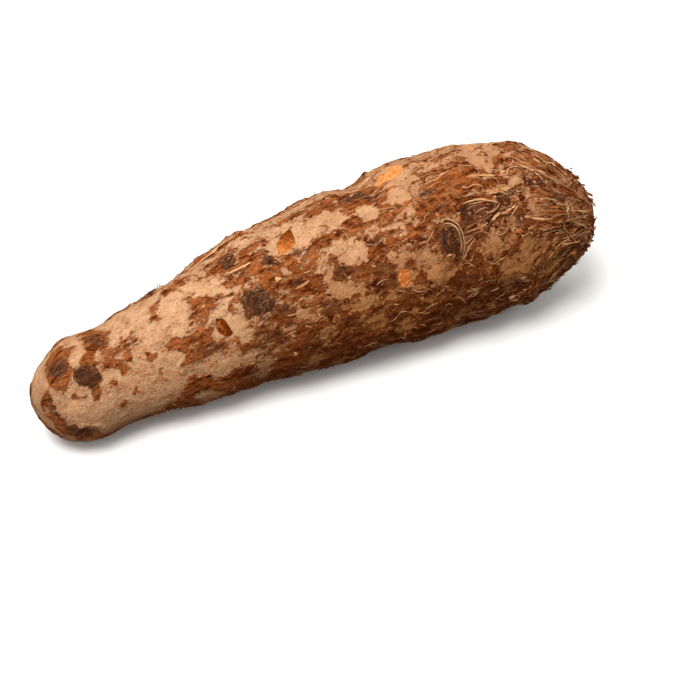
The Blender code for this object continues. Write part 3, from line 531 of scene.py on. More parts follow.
def read_skin(along, turn, lift=0.0):
    """All that is known of places on the finished skin, for flat arrays of places, in metres."""
    along = np.asarray(along, float)
    turn = np.asarray(turn, float)
    plain, outward, straight = plain_skin(along, turn)
    step, step_turn = 0.5, 0.02
    ahead = plain_skin(np.minimum(along + step, LENGTH), turn)[0]
    behind = plain_skin(np.maximum(along - step, 0.0), turn)[0]
    across = plain_skin(along, turn + step_turn)[0] - plain_skin(along, turn - step_turn)[0]
    tip_way = read_line(along)[2] * np.where(along < LENGTH / 2, -1.0, 1.0)[:, None]
    at_tip = (np.minimum(along, LENGTH - along) < 0.02)[:, None]
    out = np.where(at_tip, tip_way, unit(np.cross(ahead - behind, across)))
    inwards = np.einsum("ij,ij->i", out, np.where(at_tip, tip_way, outward)) < 0.0
    out = np.where(inwards[:, None], -out, out)

    form = form_relief(along, turn, straight) * np.minimum(1.0, end_rounding(along) * 1.6)
    moved = pushed_about(straight)
    loose = 0.36 + 0.64 * fade(22.0, 72.0, along) + 0.25 * fade(148.0, 170.0, along)
    husk = husk_cover(along, turn, straight, moved, loose)
    chip, fresh = chip_field(straight + (moved - straight) * 0.12)
    gloom = gloom_depth(along, turn, straight, moved)
    fibrous = fade(60.0, 190.0, along)
    # low runs from 0 on top to 1 on the sides and underside: painted shade, partly a golden-brown underside.
    low = fade(24.0, 90.0, np.abs(wrapped(np.degrees(turn)))) * fade(30.0, 110.0, along)
    travel = np.interp(along, ALONG_TABLE, TRAVEL_TABLE)
    grain = np.stack((travel, GRAIN_RADIUS * np.cos(turn), GRAIN_RADIUS * np.sin(turn)), axis=1)

    height = HUSK_STEP * fade(-0.15, 0.35, husk)
    height = height + FIBRE_RELIEF * unevenness(grain, 1.3, stretch=6.0, shift=23.0) * (0.1 + fibrous)
    height = height + FINE_RELIEF * unevenness(straight, 1.6, shift=29.0)
    height = height * (1.0 - fade(-0.6, 0.0, chip)) + bud_collars(straight)
    height = height - CHIP_HOLLOW * fade(-0.3, 0.5, chip)
    where = plain + outward * form[:, None] + out * (height + lift)[:, None]
    where[:, 2] = np.maximum(where[:, 2], 0.0)
    return Spot(where * MM, out, husk, gloom, chip, fresh, low, grain * MM, fibrous, loose)


def walked(along, reach):
    """Places along the root that lie some mm further over the skin."""
    return np.interp(np.interp(along, ALONG_TABLE, TRAVEL_TABLE) + reach, TRAVEL_TABLE, ALONG_TABLE)


def sunk_at_chips(spots, from_depth, to_depth):
    """Places of strands or sheets, sunk out of sight where the cork is chipped off."""
    return spots.where - spots.out * (CHIP_SINK * MM * fade(from_depth, to_depth, spots.chip))[:, None]


def skin_radius(along):
    """How far the plain skin is from the root's line, and 4 mm at the least."""
    flat = np.ravel(along)
    return np.maximum(4.0, read_line(flat)[1] * end_rounding(flat)).reshape(np.shape(along))


# Small helpers for meshes and shaders.

def nothing_selected():
    """Deselects everything, in object mode."""
    if bpy.context.mode != "OBJECT":
        bpy.ops.object.mode_set(mode="OBJECT")
    bpy.ops.object.select_all(action="DESELECT")


def new_piece(name, points, faces):
    """A piece from points in metres and faces as rows of corner numbers, shaded smooth."""
    mesh = bpy.data.meshes.new(name)
    mesh.from_pydata(points, [], faces)
    mesh.update()
    made = bpy.data.objects.new(name, mesh)
    bpy.context.scene.collection.objects.link(made)
    mesh.shade_smooth()
    return made


def write_attribute(mesh, name, kind, values):
    """Stores one value for each point of a mesh."""
    layer = mesh.attributes.new(name, kind, "POINT")
    field = "vector" if kind == "FLOAT_VECTOR" else "value"
    layer.data.foreach_set(field, np.asarray(values, np.float32).ravel())


def ride_root(piece):
    """Says that a piece belongs to the root."""
    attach(piece, "root")


def thicken(piece, thickness):
    """Gives a thin sheet two faces and an edge, with the Solidify modifier."""
    nothing_selected()
    piece.select_set(True)
    bpy.context.view_layer.objects.active = piece
    shell = piece.modifiers.new("paper", "SOLIDIFY")
    shell.thickness = thickness
    shell.offset = 0.0
    bpy.ops.object.modifier_apply(modifier="paper")


class Shader:
    """A material's or a group's node tree, with short calls that add and join nodes."""

    def __init__(self, tree):
        self.tree = tree

    def node(self, kind, **settings):
        made = self.tree.nodes.new(kind)
        for name, value in settings.items():
            setattr(made, name, value)
        return made

    def feed(self, socket, value):
        if isinstance(value, bpy.types.NodeSocket):
            self.tree.links.new(value, socket)
        else:
            socket.default_value = value

    def attribute(self, name, output="Fac"):
        return self.node("ShaderNodeAttribute", attribute_name=name).outputs[output]

    def math(self, operation, first, second=0.0, third=0.0, clamp=False):
        made = self.node("ShaderNodeMath", operation=operation, use_clamp=clamp)
        for socket, value in zip(made.inputs, (first, second, third)):
            self.feed(socket, value)
        return made.outputs[0]

    def times(self, first, second):
        return self.math("MULTIPLY", first, second)

    def minus(self, first, second):
        return self.math("SUBTRACT", first, second)

    def times_plus(self, first, second, added):
        return self.math("MULTIPLY_ADD", first, second, added)

    def scaled(self, vector, scale, offset=(0.0, 0.0, 0.0)):
        made = self.node("ShaderNodeMapping")
        self.feed(made.inputs["Vector"], vector)
        made.inputs["Scale"].default_value = scale
        made.inputs["Location"].default_value = offset
        return made.outputs[0]

    def noise(self, vector, scale, detail=3.0, roughness=0.55, output="Fac"):
        made = self.node("ShaderNodeTexNoise")
        self.feed(made.inputs["Vector"], vector)
        made.inputs["Scale"].default_value = scale
        made.inputs["Detail"].default_value = detail
        made.inputs["Roughness"].default_value = roughness
        return made.outputs[output]

    def streaks(self, grain, length, width, offset=(0.0, 0.0, 0.0), detail=3.0, roughness=0.55):
        """Noise that has one scale along the grain and another across it."""
        return self.noise(self.scaled(grain, (length, width, width), offset), 1.0, detail, roughness)

    def bent(self, vector, scale, reach):
        """A vector pushed about by noise, so that what is drawn on it gets uneven edges."""
        push = self.node("ShaderNodeVectorMath", operation="MULTIPLY_ADD")
        self.feed(push.inputs[0], self.noise(vector, scale, detail=3.0, output="Color"))
        push.inputs[1].default_value = (reach, reach, reach)
        self.feed(push.inputs[2], vector)
        return push.outputs[0]

    def cells(self, vector, scale, feature="F1", output="Distance"):
        made = self.node("ShaderNodeTexVoronoi", feature=feature)
        self.feed(made.inputs["Vector"], vector)
        made.inputs["Scale"].default_value = scale
        return made.outputs[output]

    def ranged(self, value, low, high, new_low=0.0, new_high=1.0):
        made = self.node("ShaderNodeMapRange", interpolation_type="SMOOTHSTEP")
        for number, amount in enumerate((value, low, high, new_low, new_high)):
            self.feed(made.inputs[number], amount)
        return made.outputs[0]

    def mixed(self, share, first, second):
        made = self.node("ShaderNodeMix", data_type="RGBA", blend_type="MIX")
        self.feed(made.inputs[0], share)
        self.feed(made.inputs[6], first)
        self.feed(made.inputs[7], second)
        return made.outputs[2]

    def layered(self, colour, *layers):
        """A colour with others laid over it in turn. Each layer is its share and its colour."""
        for share, over in layers:
            colour = self.mixed(share, colour, over)
        return colour

    def dress(self, surface, colour, roughness, specular, relief):
        """Feeds a Principled node. relief is a height, its strength and its depth in metres."""
        height, strength, depth = relief
        self.feed(surface.inputs["Base Color"], colour)
        self.feed(surface.inputs["Roughness"], roughness)
        surface.inputs["Specular IOR Level"].default_value = specular
        bump = self.node("ShaderNodeBump")
        bump.inputs["Strength"].default_value = strength
        bump.inputs["Distance"].default_value = depth
        self.feed(bump.inputs["Height"], height)
        self.feed(surface.inputs["Normal"], bump.outputs["Normal"])


def rgba(colour, shade=1.0):
    """A colour with full cover, made lighter or darker by shade."""
    return (colour[0] * shade, colour[1] * shade, colour[2] * shade, 1.0)


def new_material(name):
    """A node material, its shader helper and its Principled node."""
    made = bpy.data.materials.new(name)
    made.use_nodes = True
    return made, Shader(made.node_tree), made.node_tree.nodes["Principled BSDF"]


def placed_group(shader, name, inputs, outputs, fill):
    """A node group that is built once and placed in each material. Its outputs are values.

    inputs gives each input's name, its socket's kind and what feeds it.
    """
    group = bpy.data.node_groups.get(name)
    if group is None:
        group = bpy.data.node_groups.new(name, "ShaderNodeTree")
        for socket, kind, _source in inputs:
            group.interface.new_socket(name=socket, in_out="INPUT", socket_type=kind)
        for socket in outputs:
            group.interface.new_socket(name=socket, in_out="OUTPUT", socket_type="NodeSocketFloat")
        inner = Shader(group)
        fill(inner, inner.node("NodeGroupInput"), inner.node("NodeGroupOutput"))
    placed = shader.node("ShaderNodeGroup", node_tree=group)
    for socket, _kind, source in inputs:
        shader.feed(placed.inputs[socket], source)
    return [placed.outputs[socket] for socket in outputs]


def fill_fibre_lines(shader, source, result):
    """Fills the group of thin pale lines, and of the streaks between them."""
    grain = source.outputs["Grain"]
    fine_line = shader.ranged(shader.streaks(grain, 110.0, 2100.0, detail=2.0), 0.61, 0.68)
    broad_line = shader.ranged(shader.streaks(grain, 60.0, 900.0, (5.0, 2.0, 1.0), detail=2.0), 0.635, 0.68)
    lines = shader.math("MAXIMUM", fine_line, broad_line)
    patches = shader.streaks(grain, 150.0, 260.0, (1.0, 7.0, 3.0))
    wanted = shader.times(shader.ranged(patches, 0.46, 0.60), source.outputs["Amount"])
    shader.feed(result.inputs["Mask"], shader.math("MULTIPLY", lines, wanted, clamp=True))
    streak = shader.streaks(grain, 150.0, 900.0, (9.0, 4.0, 6.0), detail=6.0, roughness=0.7)
    shader.feed(result.inputs["Streak"], streak)


def fibre_lines(shader, grain, amount):
    """Thin pale lines that run with the grain, and the streaks between them."""
    inputs = (("Grain", "NodeSocketVector", grain), ("Amount", "NodeSocketFloat", amount))
    return placed_group(shader, "Fibre lines", inputs, ("Mask", "Streak"), fill_fibre_lines)


def fill_dry_mottle(shader, source, result):
    """Fills the group of the uneven tone of dry plant matter."""
    place = source.outputs["Place"]
    cloud = shader.noise(place, 160.0, detail=5.0, roughness=0.6)
    shader.feed(result.inputs["Cloud"], shader.ranged(cloud, 0.32, 0.68))
    shader.feed(result.inputs["Fine"], shader.noise(place, 2100.0, detail=3.0, roughness=0.65))


def dry_mottle(shader):
    """Uneven tone of dry plant matter on Object coordinates: a slow cloud and a fine grain."""
    place = shader.node("ShaderNodeTexCoord").outputs["Object"]
    inputs = (("Place", "NodeSocketVector", place),)
    return placed_group(shader, "Dry mottle", inputs, ("Cloud", "Fine"), fill_dry_mottle)


# Settings that a user can change.

def colour_setting(name, description, *screen):
    """A colour that a user can change, with its default named by 0 to 255 screen values."""
    return bpy.props.FloatVectorProperty(
        name=name, description=description, subtype="COLOR", size=3, min=0.0, max=1.0,
        default=from_screen(*screen))


def count_setting(name, description, default, most, least=0):
    """A number that a user can change, from least to most."""
    return bpy.props.IntProperty(name=name, description=description, default=default, min=least, max=most)


class MalangaLooks(bpy.types.PropertyGroup):
    """Colours of the root's skin and strands."""

    cork: colour_setting("Cork", "Bare pale cork", 218, 176, 136)
    cork_dull: colour_setting("Dull cork", "Cork that is rubbed and dirty", 190, 122, 72)
    # Golden brown of the sides and underside: partly painted shade, partly the cork's own colour there.
    cork_gold_and_shade: colour_setting("Golden cork", "Cork on the underside, golden brown", 158, 100, 46)
    husk_pale: colour_setting("Pale husk", "Thin orange-brown husk", 192, 114, 64)
    husk: colour_setting("Husk", "Reddish papery husk", 158, 84, 38)
    # The dark husk tone, also laid on as painted shade between the fibres and on the sides and underside.
    husk_dark: colour_setting("Dark husk", "Brown husk in its folds", 86, 33, 5)
    gloom: colour_setting("Grey husk", "Husk that has gone grey or black", 80, 54, 40)
    chip: colour_setting("Chip", "Fresh orange place where cork is chipped off", 214, 121, 54)
    chip_pale: colour_setting("Bright chip", "Brightest orange in the chips", 224, 150, 90)
    straw: colour_setting("Straw", "Pale strands of husk fibre", 206, 158, 112)


class MalangaAmounts(bpy.types.PropertyGroup):
    """How finely the skin is made and how much grows on it."""

    rings: count_setting("Rings", "Rings of faces from tip to tip", 370, most=380, least=40)
    sides: count_setting("Sides", "Faces round the root", 260, most=262, least=24)
    straw_strands: count_setting("Straw strands", "Pale strands lying on the skin", 900, most=2000)
    dark_strands: count_setting("Dark strands", "Brown strands lying on the skin", 600, most=2000)
    hairs: count_setting("Hairs", "Loose hairs that stand off the skin", 420, most=1500)
    flakes: count_setting("Flakes", "Papery flakes that curl off the husk's edges", 800, most=1500)
    shreds: count_setting("Crown shreds", "Frayed shreds of husk that cover the crown", 1000, most=2000)


class MalangaStage(bpy.types.PropertyGroup):
    """The camera, and the floor's colour."""

    azimuth: bpy.props.FloatProperty(
        name="Azimuth", description="Camera's angle round the root from the front", subtype="ANGLE",
        default=math.radians(-27.8))
    elevation: bpy.props.FloatProperty(
        name="Elevation", description="Camera's angle above the floor", subtype="ANGLE",
        default=math.radians(38.0))
    distance: bpy.props.FloatProperty(
        name="Distance", description="From the camera to the point it looks at", unit="LENGTH",
        default=0.6216)
    target: bpy.props.FloatVectorProperty(
        name="Target", description="Point that the camera looks at", subtype="XYZ", unit="LENGTH", size=3,
        default=(-0.0067, -0.0380, 0.0269))
    lens: bpy.props.FloatProperty(
        name="Lens", description="Focal length in millimetres", default=100.0, min=10.0, max=300.0)
    floor: colour_setting("Floor", "Floor colour", 240, 238, 235)


# Materials.

def skin_material(looks):
    """Cork with husk patches, grey husk, fibre lines, specks and orange chips, with painted shade and
    highlights.
    """
    made, shader, skin = new_material("cork_and_husk")
    cloud, fine = dry_mottle(shader)
    place = shader.node("ShaderNodeTexCoord").outputs["Object"]
    grain = shader.attribute("grain", "Vector")
    fibrous = shader.attribute("fibrous")
    # low sets the painted shade on the sides and underside.
    low = shader.attribute("low")
    lines, streak = fibre_lines(shader, grain, shader.times_plus(fibrous, 0.85, 0.15))

    # Where the husk covers the cork, with torn edges.
    shreds = shader.minus(shader.streaks(grain, 400.0, 640.0, detail=8.0, roughness=0.74), 0.5)
    crumbs = shader.minus(shader.streaks(grain, 1000.0, 1400.0, (2.0, 5.0, 1.0), detail=4.0), 0.5)
    comb = shader.minus(streak, 0.5)
    scraps = shader.times_plus(shreds, 4.6, shader.times(comb, 1.3))
    scraps = shader.times_plus(crumbs, 3.0, scraps)
    ragged = shader.times_plus(scraps, shader.attribute("loose"), shader.attribute("husk"))
    cover = shader.ranged(ragged, -0.06, 0.08)
    # rim is a pale band just inside the husk's torn edge: a painted highlight.
    rim = shader.minus(1.0, shader.ranged(ragged, 0.04, 0.40))
    near = shader.ranged(ragged, -1.0, -0.05)

    # Pits, ridges, scurf and specks of the cork.
    bent_grain = shader.bent(grain, 700.0, 0.0014)
    net = shader.scaled(bent_grain, (520.0, 760.0, 760.0))
    pits = shader.ranged(shader.cells(net, 1.0), 0.48, 0.20)
    ridges = shader.ranged(shader.cells(net, 1.0, feature="DISTANCE_TO_EDGE"), 0.13, 0.03)
    ridge_share = shader.times(shader.times(near, ridges), 0.45)
    scurf_field = shader.streaks(grain, 300.0, 420.0, (8.0, 3.0, 5.0), detail=7.0, roughness=0.7)
    scurf = shader.ranged(scurf_field, 0.44, 0.60)
    mottle_field = shader.noise(place, 1000.0, detail=6.0, roughness=0.72)
    mottle = shader.ranged(mottle_field, 0.38, 0.64)
    specks = shader.ranged(shader.noise(place, 1500.0, detail=2.0, roughness=0.5), 0.66, 0.71)
    grit = shader.ranged(fine, 0.42, 0.64)
    cork = shader.layered(
        shader.mixed(cloud, rgba(looks.cork, 1.06), rgba(looks.cork, 0.84)),
        (shader.times(fibrous, 0.40), rgba(looks.cork_dull, 1.05)),
        (shader.times(mottle, 0.55), rgba(looks.cork_dull)),
        (shader.times(grit, 0.35), rgba(looks.cork_dull, 0.82)),
        # Paler cork along the raised grain streaks: a painted highlight.
        (shader.ranged(streak, 0.55, 0.72, 0.0, 0.4), rgba(looks.cork, 1.12)),
        (shader.times(scurf, shader.times_plus(near, 0.55, 0.12)), rgba(looks.husk_pale, 0.98)),
        # Painted shade, partly a golden-brown underside: cork darkens and turns golden away from the top.
        (shader.times(low, 0.80), rgba(looks.cork_gold_and_shade)),
        (shader.times(near, shader.times_plus(pits, 0.75, 0.12)), rgba(looks.husk, 1.05)),
        # The net's ridges stay pale on top and turn golden below, as painted shade.
        (ridge_share, shader.mixed(low, rgba(looks.cork), rgba(looks.cork_gold_and_shade, 1.25))),
        (shader.times(specks, 0.75), rgba(looks.husk_dark, 1.5)),
    )

    # Tone of the husk, its grey places and pale flecks, a painted highlight along its torn edges, and
    # painted shade on the sides and underside and between the fibres.
    husk_field = shader.streaks(grain, 300.0, 700.0, (3.0, 1.0, 2.0), detail=8.0, roughness=0.74)
    scales = shader.scaled(bent_grain, (210.0, 480.0, 480.0), (4.0, 0.0, 7.0))
    scale_tone = shader.minus(shader.cells(scales, 1.0, output="Color"), 0.5)
    tone = shader.times_plus(scale_tone, 0.20, husk_field)
    tone = shader.times_plus(crumbs, 0.35, tone)
    gloomy = shader.ranged(shader.times_plus(shreds, 2.6, shader.attribute("gloom")), 0.20, 0.52)
    gloomy = shader.times(gloomy, shader.times_plus(low, -0.65, 0.85))
    grey = shader.mixed(shader.ranged(tone, 0.38, 0.60), rgba(looks.gloom, 0.5), rgba(looks.gloom, 1.4))
    # Painted shade in the low places between the fibre streaks, towards the crown.
    gap_shade = shader.times(shader.ranged(streak, 0.50, 0.38), fibrous)
    flecks = shader.ranged(shader.streaks(grain, 800.0, 1700.0, detail=2.0), 0.65, 0.71)
    husk = shader.layered(
        shader.mixed(shader.ranged(tone, 0.38, 0.53), rgba(looks.husk_dark), rgba(looks.husk)),
        (shader.ranged(tone, 0.50, 0.66, 0.0, 0.85), rgba(looks.husk_pale)),
        (gloomy, grey),
        (shader.times(rim, 0.35), rgba(looks.husk_pale, 0.92)),
        # Painted shade, partly a darker underside: the husk darkens on the sides and underside.
        (shader.times(low, 0.62), rgba(looks.husk_dark, 0.85)),
        (shader.times(gap_shade, 0.85), rgba(looks.husk_dark, 0.7)),
        (shader.times(flecks, 0.50), rgba(looks.straw, 0.8)),
    )

    # Chips, and all of it together.
    chip = shader.times_plus(crumbs, 1.2, shader.attribute("chip"))
    chipped = shader.ranged(chip, -0.10, 0.12)
    chip_tone = shader.times_plus(shader.minus(mottle_field, 0.5), 2.4, shader.attribute("fresh"))
    chip_shade = shader.ranged(chip_tone, -0.10, 0.65)
    fresh = shader.mixed(chip_shade, rgba(looks.husk_dark, 1.1), rgba(looks.chip, 0.74))
    fresh = shader.mixed(shader.ranged(chip_tone, 0.68, 1.10), fresh, rgba(looks.chip_pale))
    colour = shader.layered(
        cork,
        (cover, husk),
        # Pale fibre lines turn golden on the sides and underside, as painted shade.
        (shader.times(lines, 0.75), shader.mixed(low, rgba(looks.straw, 1.05), rgba(looks.cork_gold_and_shade, 1.3))),
        (shader.times(shader.ranged(chip, -0.9, -0.2), 0.25), rgba(looks.straw)),
        (chipped, fresh),
    )
    roughness = shader.times_plus(mottle, 0.10, shader.times_plus(cover, -0.10, 0.88))
    height = shader.times(fine, 0.35)
    for field, share in (
        (cover, 0.50),
        (streak, shader.times_plus(fibrous, 0.7, 0.15)),
        (husk_field, shader.times_plus(cover, 0.6, 0.2)),
        (lines, 0.30),
        (ridge_share, 0.6),
        (mottle_field, 0.55),
    ):
        height = shader.times_plus(field, share, height)
    height = shader.times(height, shader.times_plus(chipped, -0.7, 1.0))
    shader.dress(skin, colour, roughness, 0.02, (height, 0.95, 0.0014))
    return made


def dry_material(name, pale, dark, roughness, depth=0.00015):
    """Dry plant matter: each strand or scale has a tone of its own between pale and dark."""
    made, shader, surface = new_material(name)
    cloud, fine = dry_mottle(shader)
    uneven = shader.minus(shader.times_plus(cloud, 0.3, shader.times(fine, 0.6)), 0.45)
    tone = shader.math("ADD", shader.attribute("tone"), uneven)
    colour = shader.mixed(shader.ranged(tone, 0.0, 1.0), pale, dark)
    shader.dress(surface, colour, roughness, 0.08, (fine, 0.6, depth))
    return made


def sheet_material(name, looks):
    """Papery husk in shreds: a tone for each one, with streaks along it."""
    made, shader, surface = new_material(name)
    cloud, fine = dry_mottle(shader)
    strip = shader.attribute("strip", "Vector")
    streak = shader.noise(shader.scaled(strip, (0.30, 3.4, 1.0)), 1.0, detail=5.0, roughness=0.7)
    tone = shader.times_plus(streak, 1.5, shader.attribute("tone"))
    tone = shader.times_plus(fine, 0.6, tone)
    tone = shader.times_plus(cloud, 0.2, tone)
    tone = shader.minus(tone, 1.15)
    colour = shader.layered(
        shader.mixed(shader.ranged(tone, 0.0, 0.40), rgba(looks.straw), rgba(looks.husk_pale, 0.74)),
        (shader.ranged(tone, 0.35, 0.62), rgba(looks.husk)),
        (shader.ranged(tone, 0.60, 1.0), rgba(looks.husk_dark)),
    )
    shader.dress(surface, colour, 0.82, 0.06, (streak, 0.8, 0.0003))
    return made


# Pieces.

class MALANGA_OT_skin(bpy.types.Operator):
    """Grow the root's skin from a ball of faces that is drawn out over the root's form"""

    bl_idname = "malanga.skin"
    bl_label = "Root skin"

    def execute(self, context):
        amounts = context.scene.malanga_amounts
        nothing_selected()
        bpy.ops.mesh.primitive_uv_sphere_add(segments=amounts.sides, ring_count=amounts.rings, radius=1.0)
        skin = context.object
        skin.name = "root_skin"
        mesh = skin.data
        mesh.name = "root_skin"
        ball = np.empty(len(mesh.vertices) * 3, np.float32)
        mesh.vertices.foreach_get("co", ball)
        ball = ball.reshape(-1, 3).astype(float)
        share = 1.0 - np.arccos(np.clip(ball[:, 2], -1.0, 1.0)) / math.pi
        along = np.interp(share * TRAVEL_TABLE[-1], TRAVEL_TABLE, ALONG_TABLE)
        turn = np.arctan2(ball[:, 1], ball[:, 0])
        spot = read_skin(along, turn)
        mesh.vertices.foreach_set("co", spot.where.astype(np.float32).ravel())
        for name in ("husk", "gloom", "chip", "fresh", "low", "fibrous", "loose"):
            write_attribute(mesh, name, "FLOAT", getattr(spot, name))
        write_attribute(mesh, "grain", "FLOAT_VECTOR", spot.grain)
        mesh.update()
        mesh.shade_smooth()
        mesh.materials.append(skin_material(context.scene.malanga_looks))
        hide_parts(ROOT)
        ride_root(skin)
        return {"FINISHED"}


def bud_frame(along, around, lean):
    """A bud's foot in metres, the way it points, and two ways round it."""
    turn = math.radians(around)
    spots = read_skin([along, along + 0.8, along - 0.8], [turn, turn, turn])
    crownwards = unit(spots.where[1] - spots.where[2])
    tilt = math.radians(lean)
    up = unit(spots.out[0] * math.cos(tilt) + crownwards * math.sin(tilt))
    across = unit(np.cross(up, crownwards))
    return spots.where[0], up, across, np.cross(across, up)


def dome_level(height, rho):
    """Height in mm of a bud's dome at a share of its radius."""
    return height * (1.0 - rho**DOME_FLATNESS) - BUD_FOOT


def dome_grid(draw, radius, wide, height, sides=40, rings=14):
    """Offsets in mm of a bud's core: a low dome with an uneven rim, ring by ring, and its top."""
    phase = draw.uniform(0.0, 2.0 * math.pi, 3)
    rho = np.linspace(1.05, 0.08, rings)[:, None]
    angle = np.linspace(0.0, 2.0 * math.pi, sides, endpoint=False)[None, :]
    uneven = 1.0 + 0.08 * np.sin(2 * angle + phase[0]) + 0.05 * np.sin(5 * angle + phase[1])
    reach = radius * rho * uneven
    level = dome_level(height, rho) + draw.normal(0.0, 0.09, (rings, sides)) * rho
    level = level + 0.10 * np.sin(9 * angle + phase[2] + rho * 7.0) * rho
    offsets = np.stack((reach * wide * np.cos(angle), reach * np.sin(angle), level), axis=-1).reshape(-1, 3)
    offsets = np.vstack((offsets, (0.0, 0.0, dome_level(height, 0.0))))
    here = np.arange(rings - 1)[:, None] * sides + np.arange(sides)[None, :]
    beside = np.arange(rings - 1)[:, None] * sides + (np.arange(sides)[None, :] + 1) % sides
    quads = np.stack((here, beside, beside + sides, here + sides), axis=-1).reshape(-1, 4)
    last = (rings - 1) * sides + np.arange(sides)
    after = (rings - 1) * sides + (np.arange(sides) + 1) % sides
    top = [(int(a), int(b), rings * sides) for a, b in zip(last, after)]
    return offsets, [tuple(quad) for quad in quads.tolist()] + top


def wrap_grid(draw, radius, wide, height, rho, angle, sweep):
    """Offsets in mm of one sheath scale that wraps round part of the dome, with a frayed, lifted rim."""
    steps = 14
    share = np.linspace(0.0, 1.0, steps)
    rise = np.sin(share * math.pi) ** 0.5
    turned = angle + (share - 0.5) * sweep
    stand = draw.uniform(0.18, 0.45) * rise * (1.0 + draw.normal(0.0, 0.22, steps))
    foot = rho + draw.normal(0.0, 0.012, steps)
    inwards = draw.uniform(0.10, 0.20) * rise
    ground = dome_level(height, np.clip(foot, 0.0, 1.1))
    offsets = []
    for row_rho, level in ((foot, ground), (foot - inwards * 0.4, ground + stand * 0.8),
                           (foot - inwards, ground + stand + 0.05)):
        reach = radius * row_rho
        offsets.append(np.stack((reach * wide * np.cos(turned), reach * np.sin(turned), level), axis=-1))
    faces = [(r * steps + c, r * steps + c + 1, (r + 1) * steps + c + 1, (r + 1) * steps + c)
             for r in range(2) for c in range(steps - 1)]
    return np.concatenate(offsets), faces


class MALANGA_OT_buds(bpy.types.Operator):
    """Grow the buds: low domes wrapped round by dark sheath scales with frayed rims"""

    bl_idname = "malanga.buds"
    bl_label = "Buds"

    def execute(self, context):
        looks = context.scene.malanga_looks
        draw = np.random.default_rng(BUD_SEED)
        points, faces, tones = [], [], []
        for name, (along, around, radius, height, lean, wide, _bristles) in BUDS.items():
            # The heel bud lies under the husk, so it shows no scales.
            if name == "heel":
                continue
            foot, up, across, forward = bud_frame(along, around, lean)
            frame_ways = np.array((across, forward, up))
            pieces = [(*dome_grid(draw, radius, wide, height), 0.75)]
            rho = 1.02
            while rho > 0.16:
                for _ in range(2 if rho > 0.5 else 1):
                    sweep = draw.uniform(1.8, 3.6)
                    shape = wrap_grid(draw, radius, wide, height, rho, draw.uniform(-math.pi, math.pi), sweep)
                    pieces.append((*shape, draw.uniform(0.45, 1.0)))
                rho -= draw.uniform(0.35, 0.6) / radius
            for offsets, corners, tone in pieces:
                base = len(points)
                points.extend(foot + np.asarray(offsets) @ frame_ways * MM)
                faces.extend(tuple(base + corner for corner in face) for face in corners)
                tones.extend([tone] * len(offsets))
        buds = new_piece("bud_scales", [tuple(point) for point in points], faces)
        write_attribute(buds.data, "tone", "FLOAT", tones)
        thicken(buds, SCALE_THICKNESS)
        scale = dry_material("bud_scale", rgba(looks.husk, 0.85), rgba(looks.gloom, 0.35), 0.8, 0.0004)
        buds.data.materials.append(scale)
        ride_root(buds)
        return {"FINISHED"}


def lay_strands(name, along, turn, lift, half_width, half_height, tone, material):
    """Strands from rows of places: flat four-sided fibres that taper to both ends."""
    count, steps = along.shape
    spots = read_skin(along.ravel(), turn.ravel(), lift=lift.ravel())
    spine = sunk_at_chips(spots, -1.0, -0.2).reshape(count, steps, 3)
    out = spots.out.reshape(count, steps, 3)
    ahead = unit(np.gradient(spine, axis=1))
    side = unit(np.cross(ahead, out))
    up = np.cross(side, ahead)
    taper = np.sin(np.linspace(0.06, 0.94, steps) * math.pi)[None, :, None] ** 0.7
    wide = side * half_width[:, None, None] * MM * taper
    tall = up * half_height[:, None, None] * MM * taper
    corners = np.stack((spine + wide, spine + tall, spine - wide, spine - tall), axis=2)
    points = corners.reshape(-1, 3)
    start = (np.arange(count) * steps * 4)[:, None, None]
    step = (np.arange(steps - 1) * 4)[None, :, None]
    corner = np.arange(4)[None, None, :]
    after = (corner + 1) % 4
    first = start + step
    quads = np.stack((first + corner, first + after, first + 4 + after, first + 4 + corner), axis=-1)
    quads = quads.reshape(-1, 4)
    near = start[:, 0, :] + np.array((3, 2, 1, 0))
    far = start[:, 0, :] + (steps - 1) * 4 + np.array((0, 1, 2, 3))
    piece = new_piece(name, points.tolist(), np.vstack((quads, near, far)).tolist())
    write_attribute(piece.data, "tone", "FLOAT", np.repeat(tone, steps * 4))
    piece.data.materials.append(material)
    ride_root(piece)


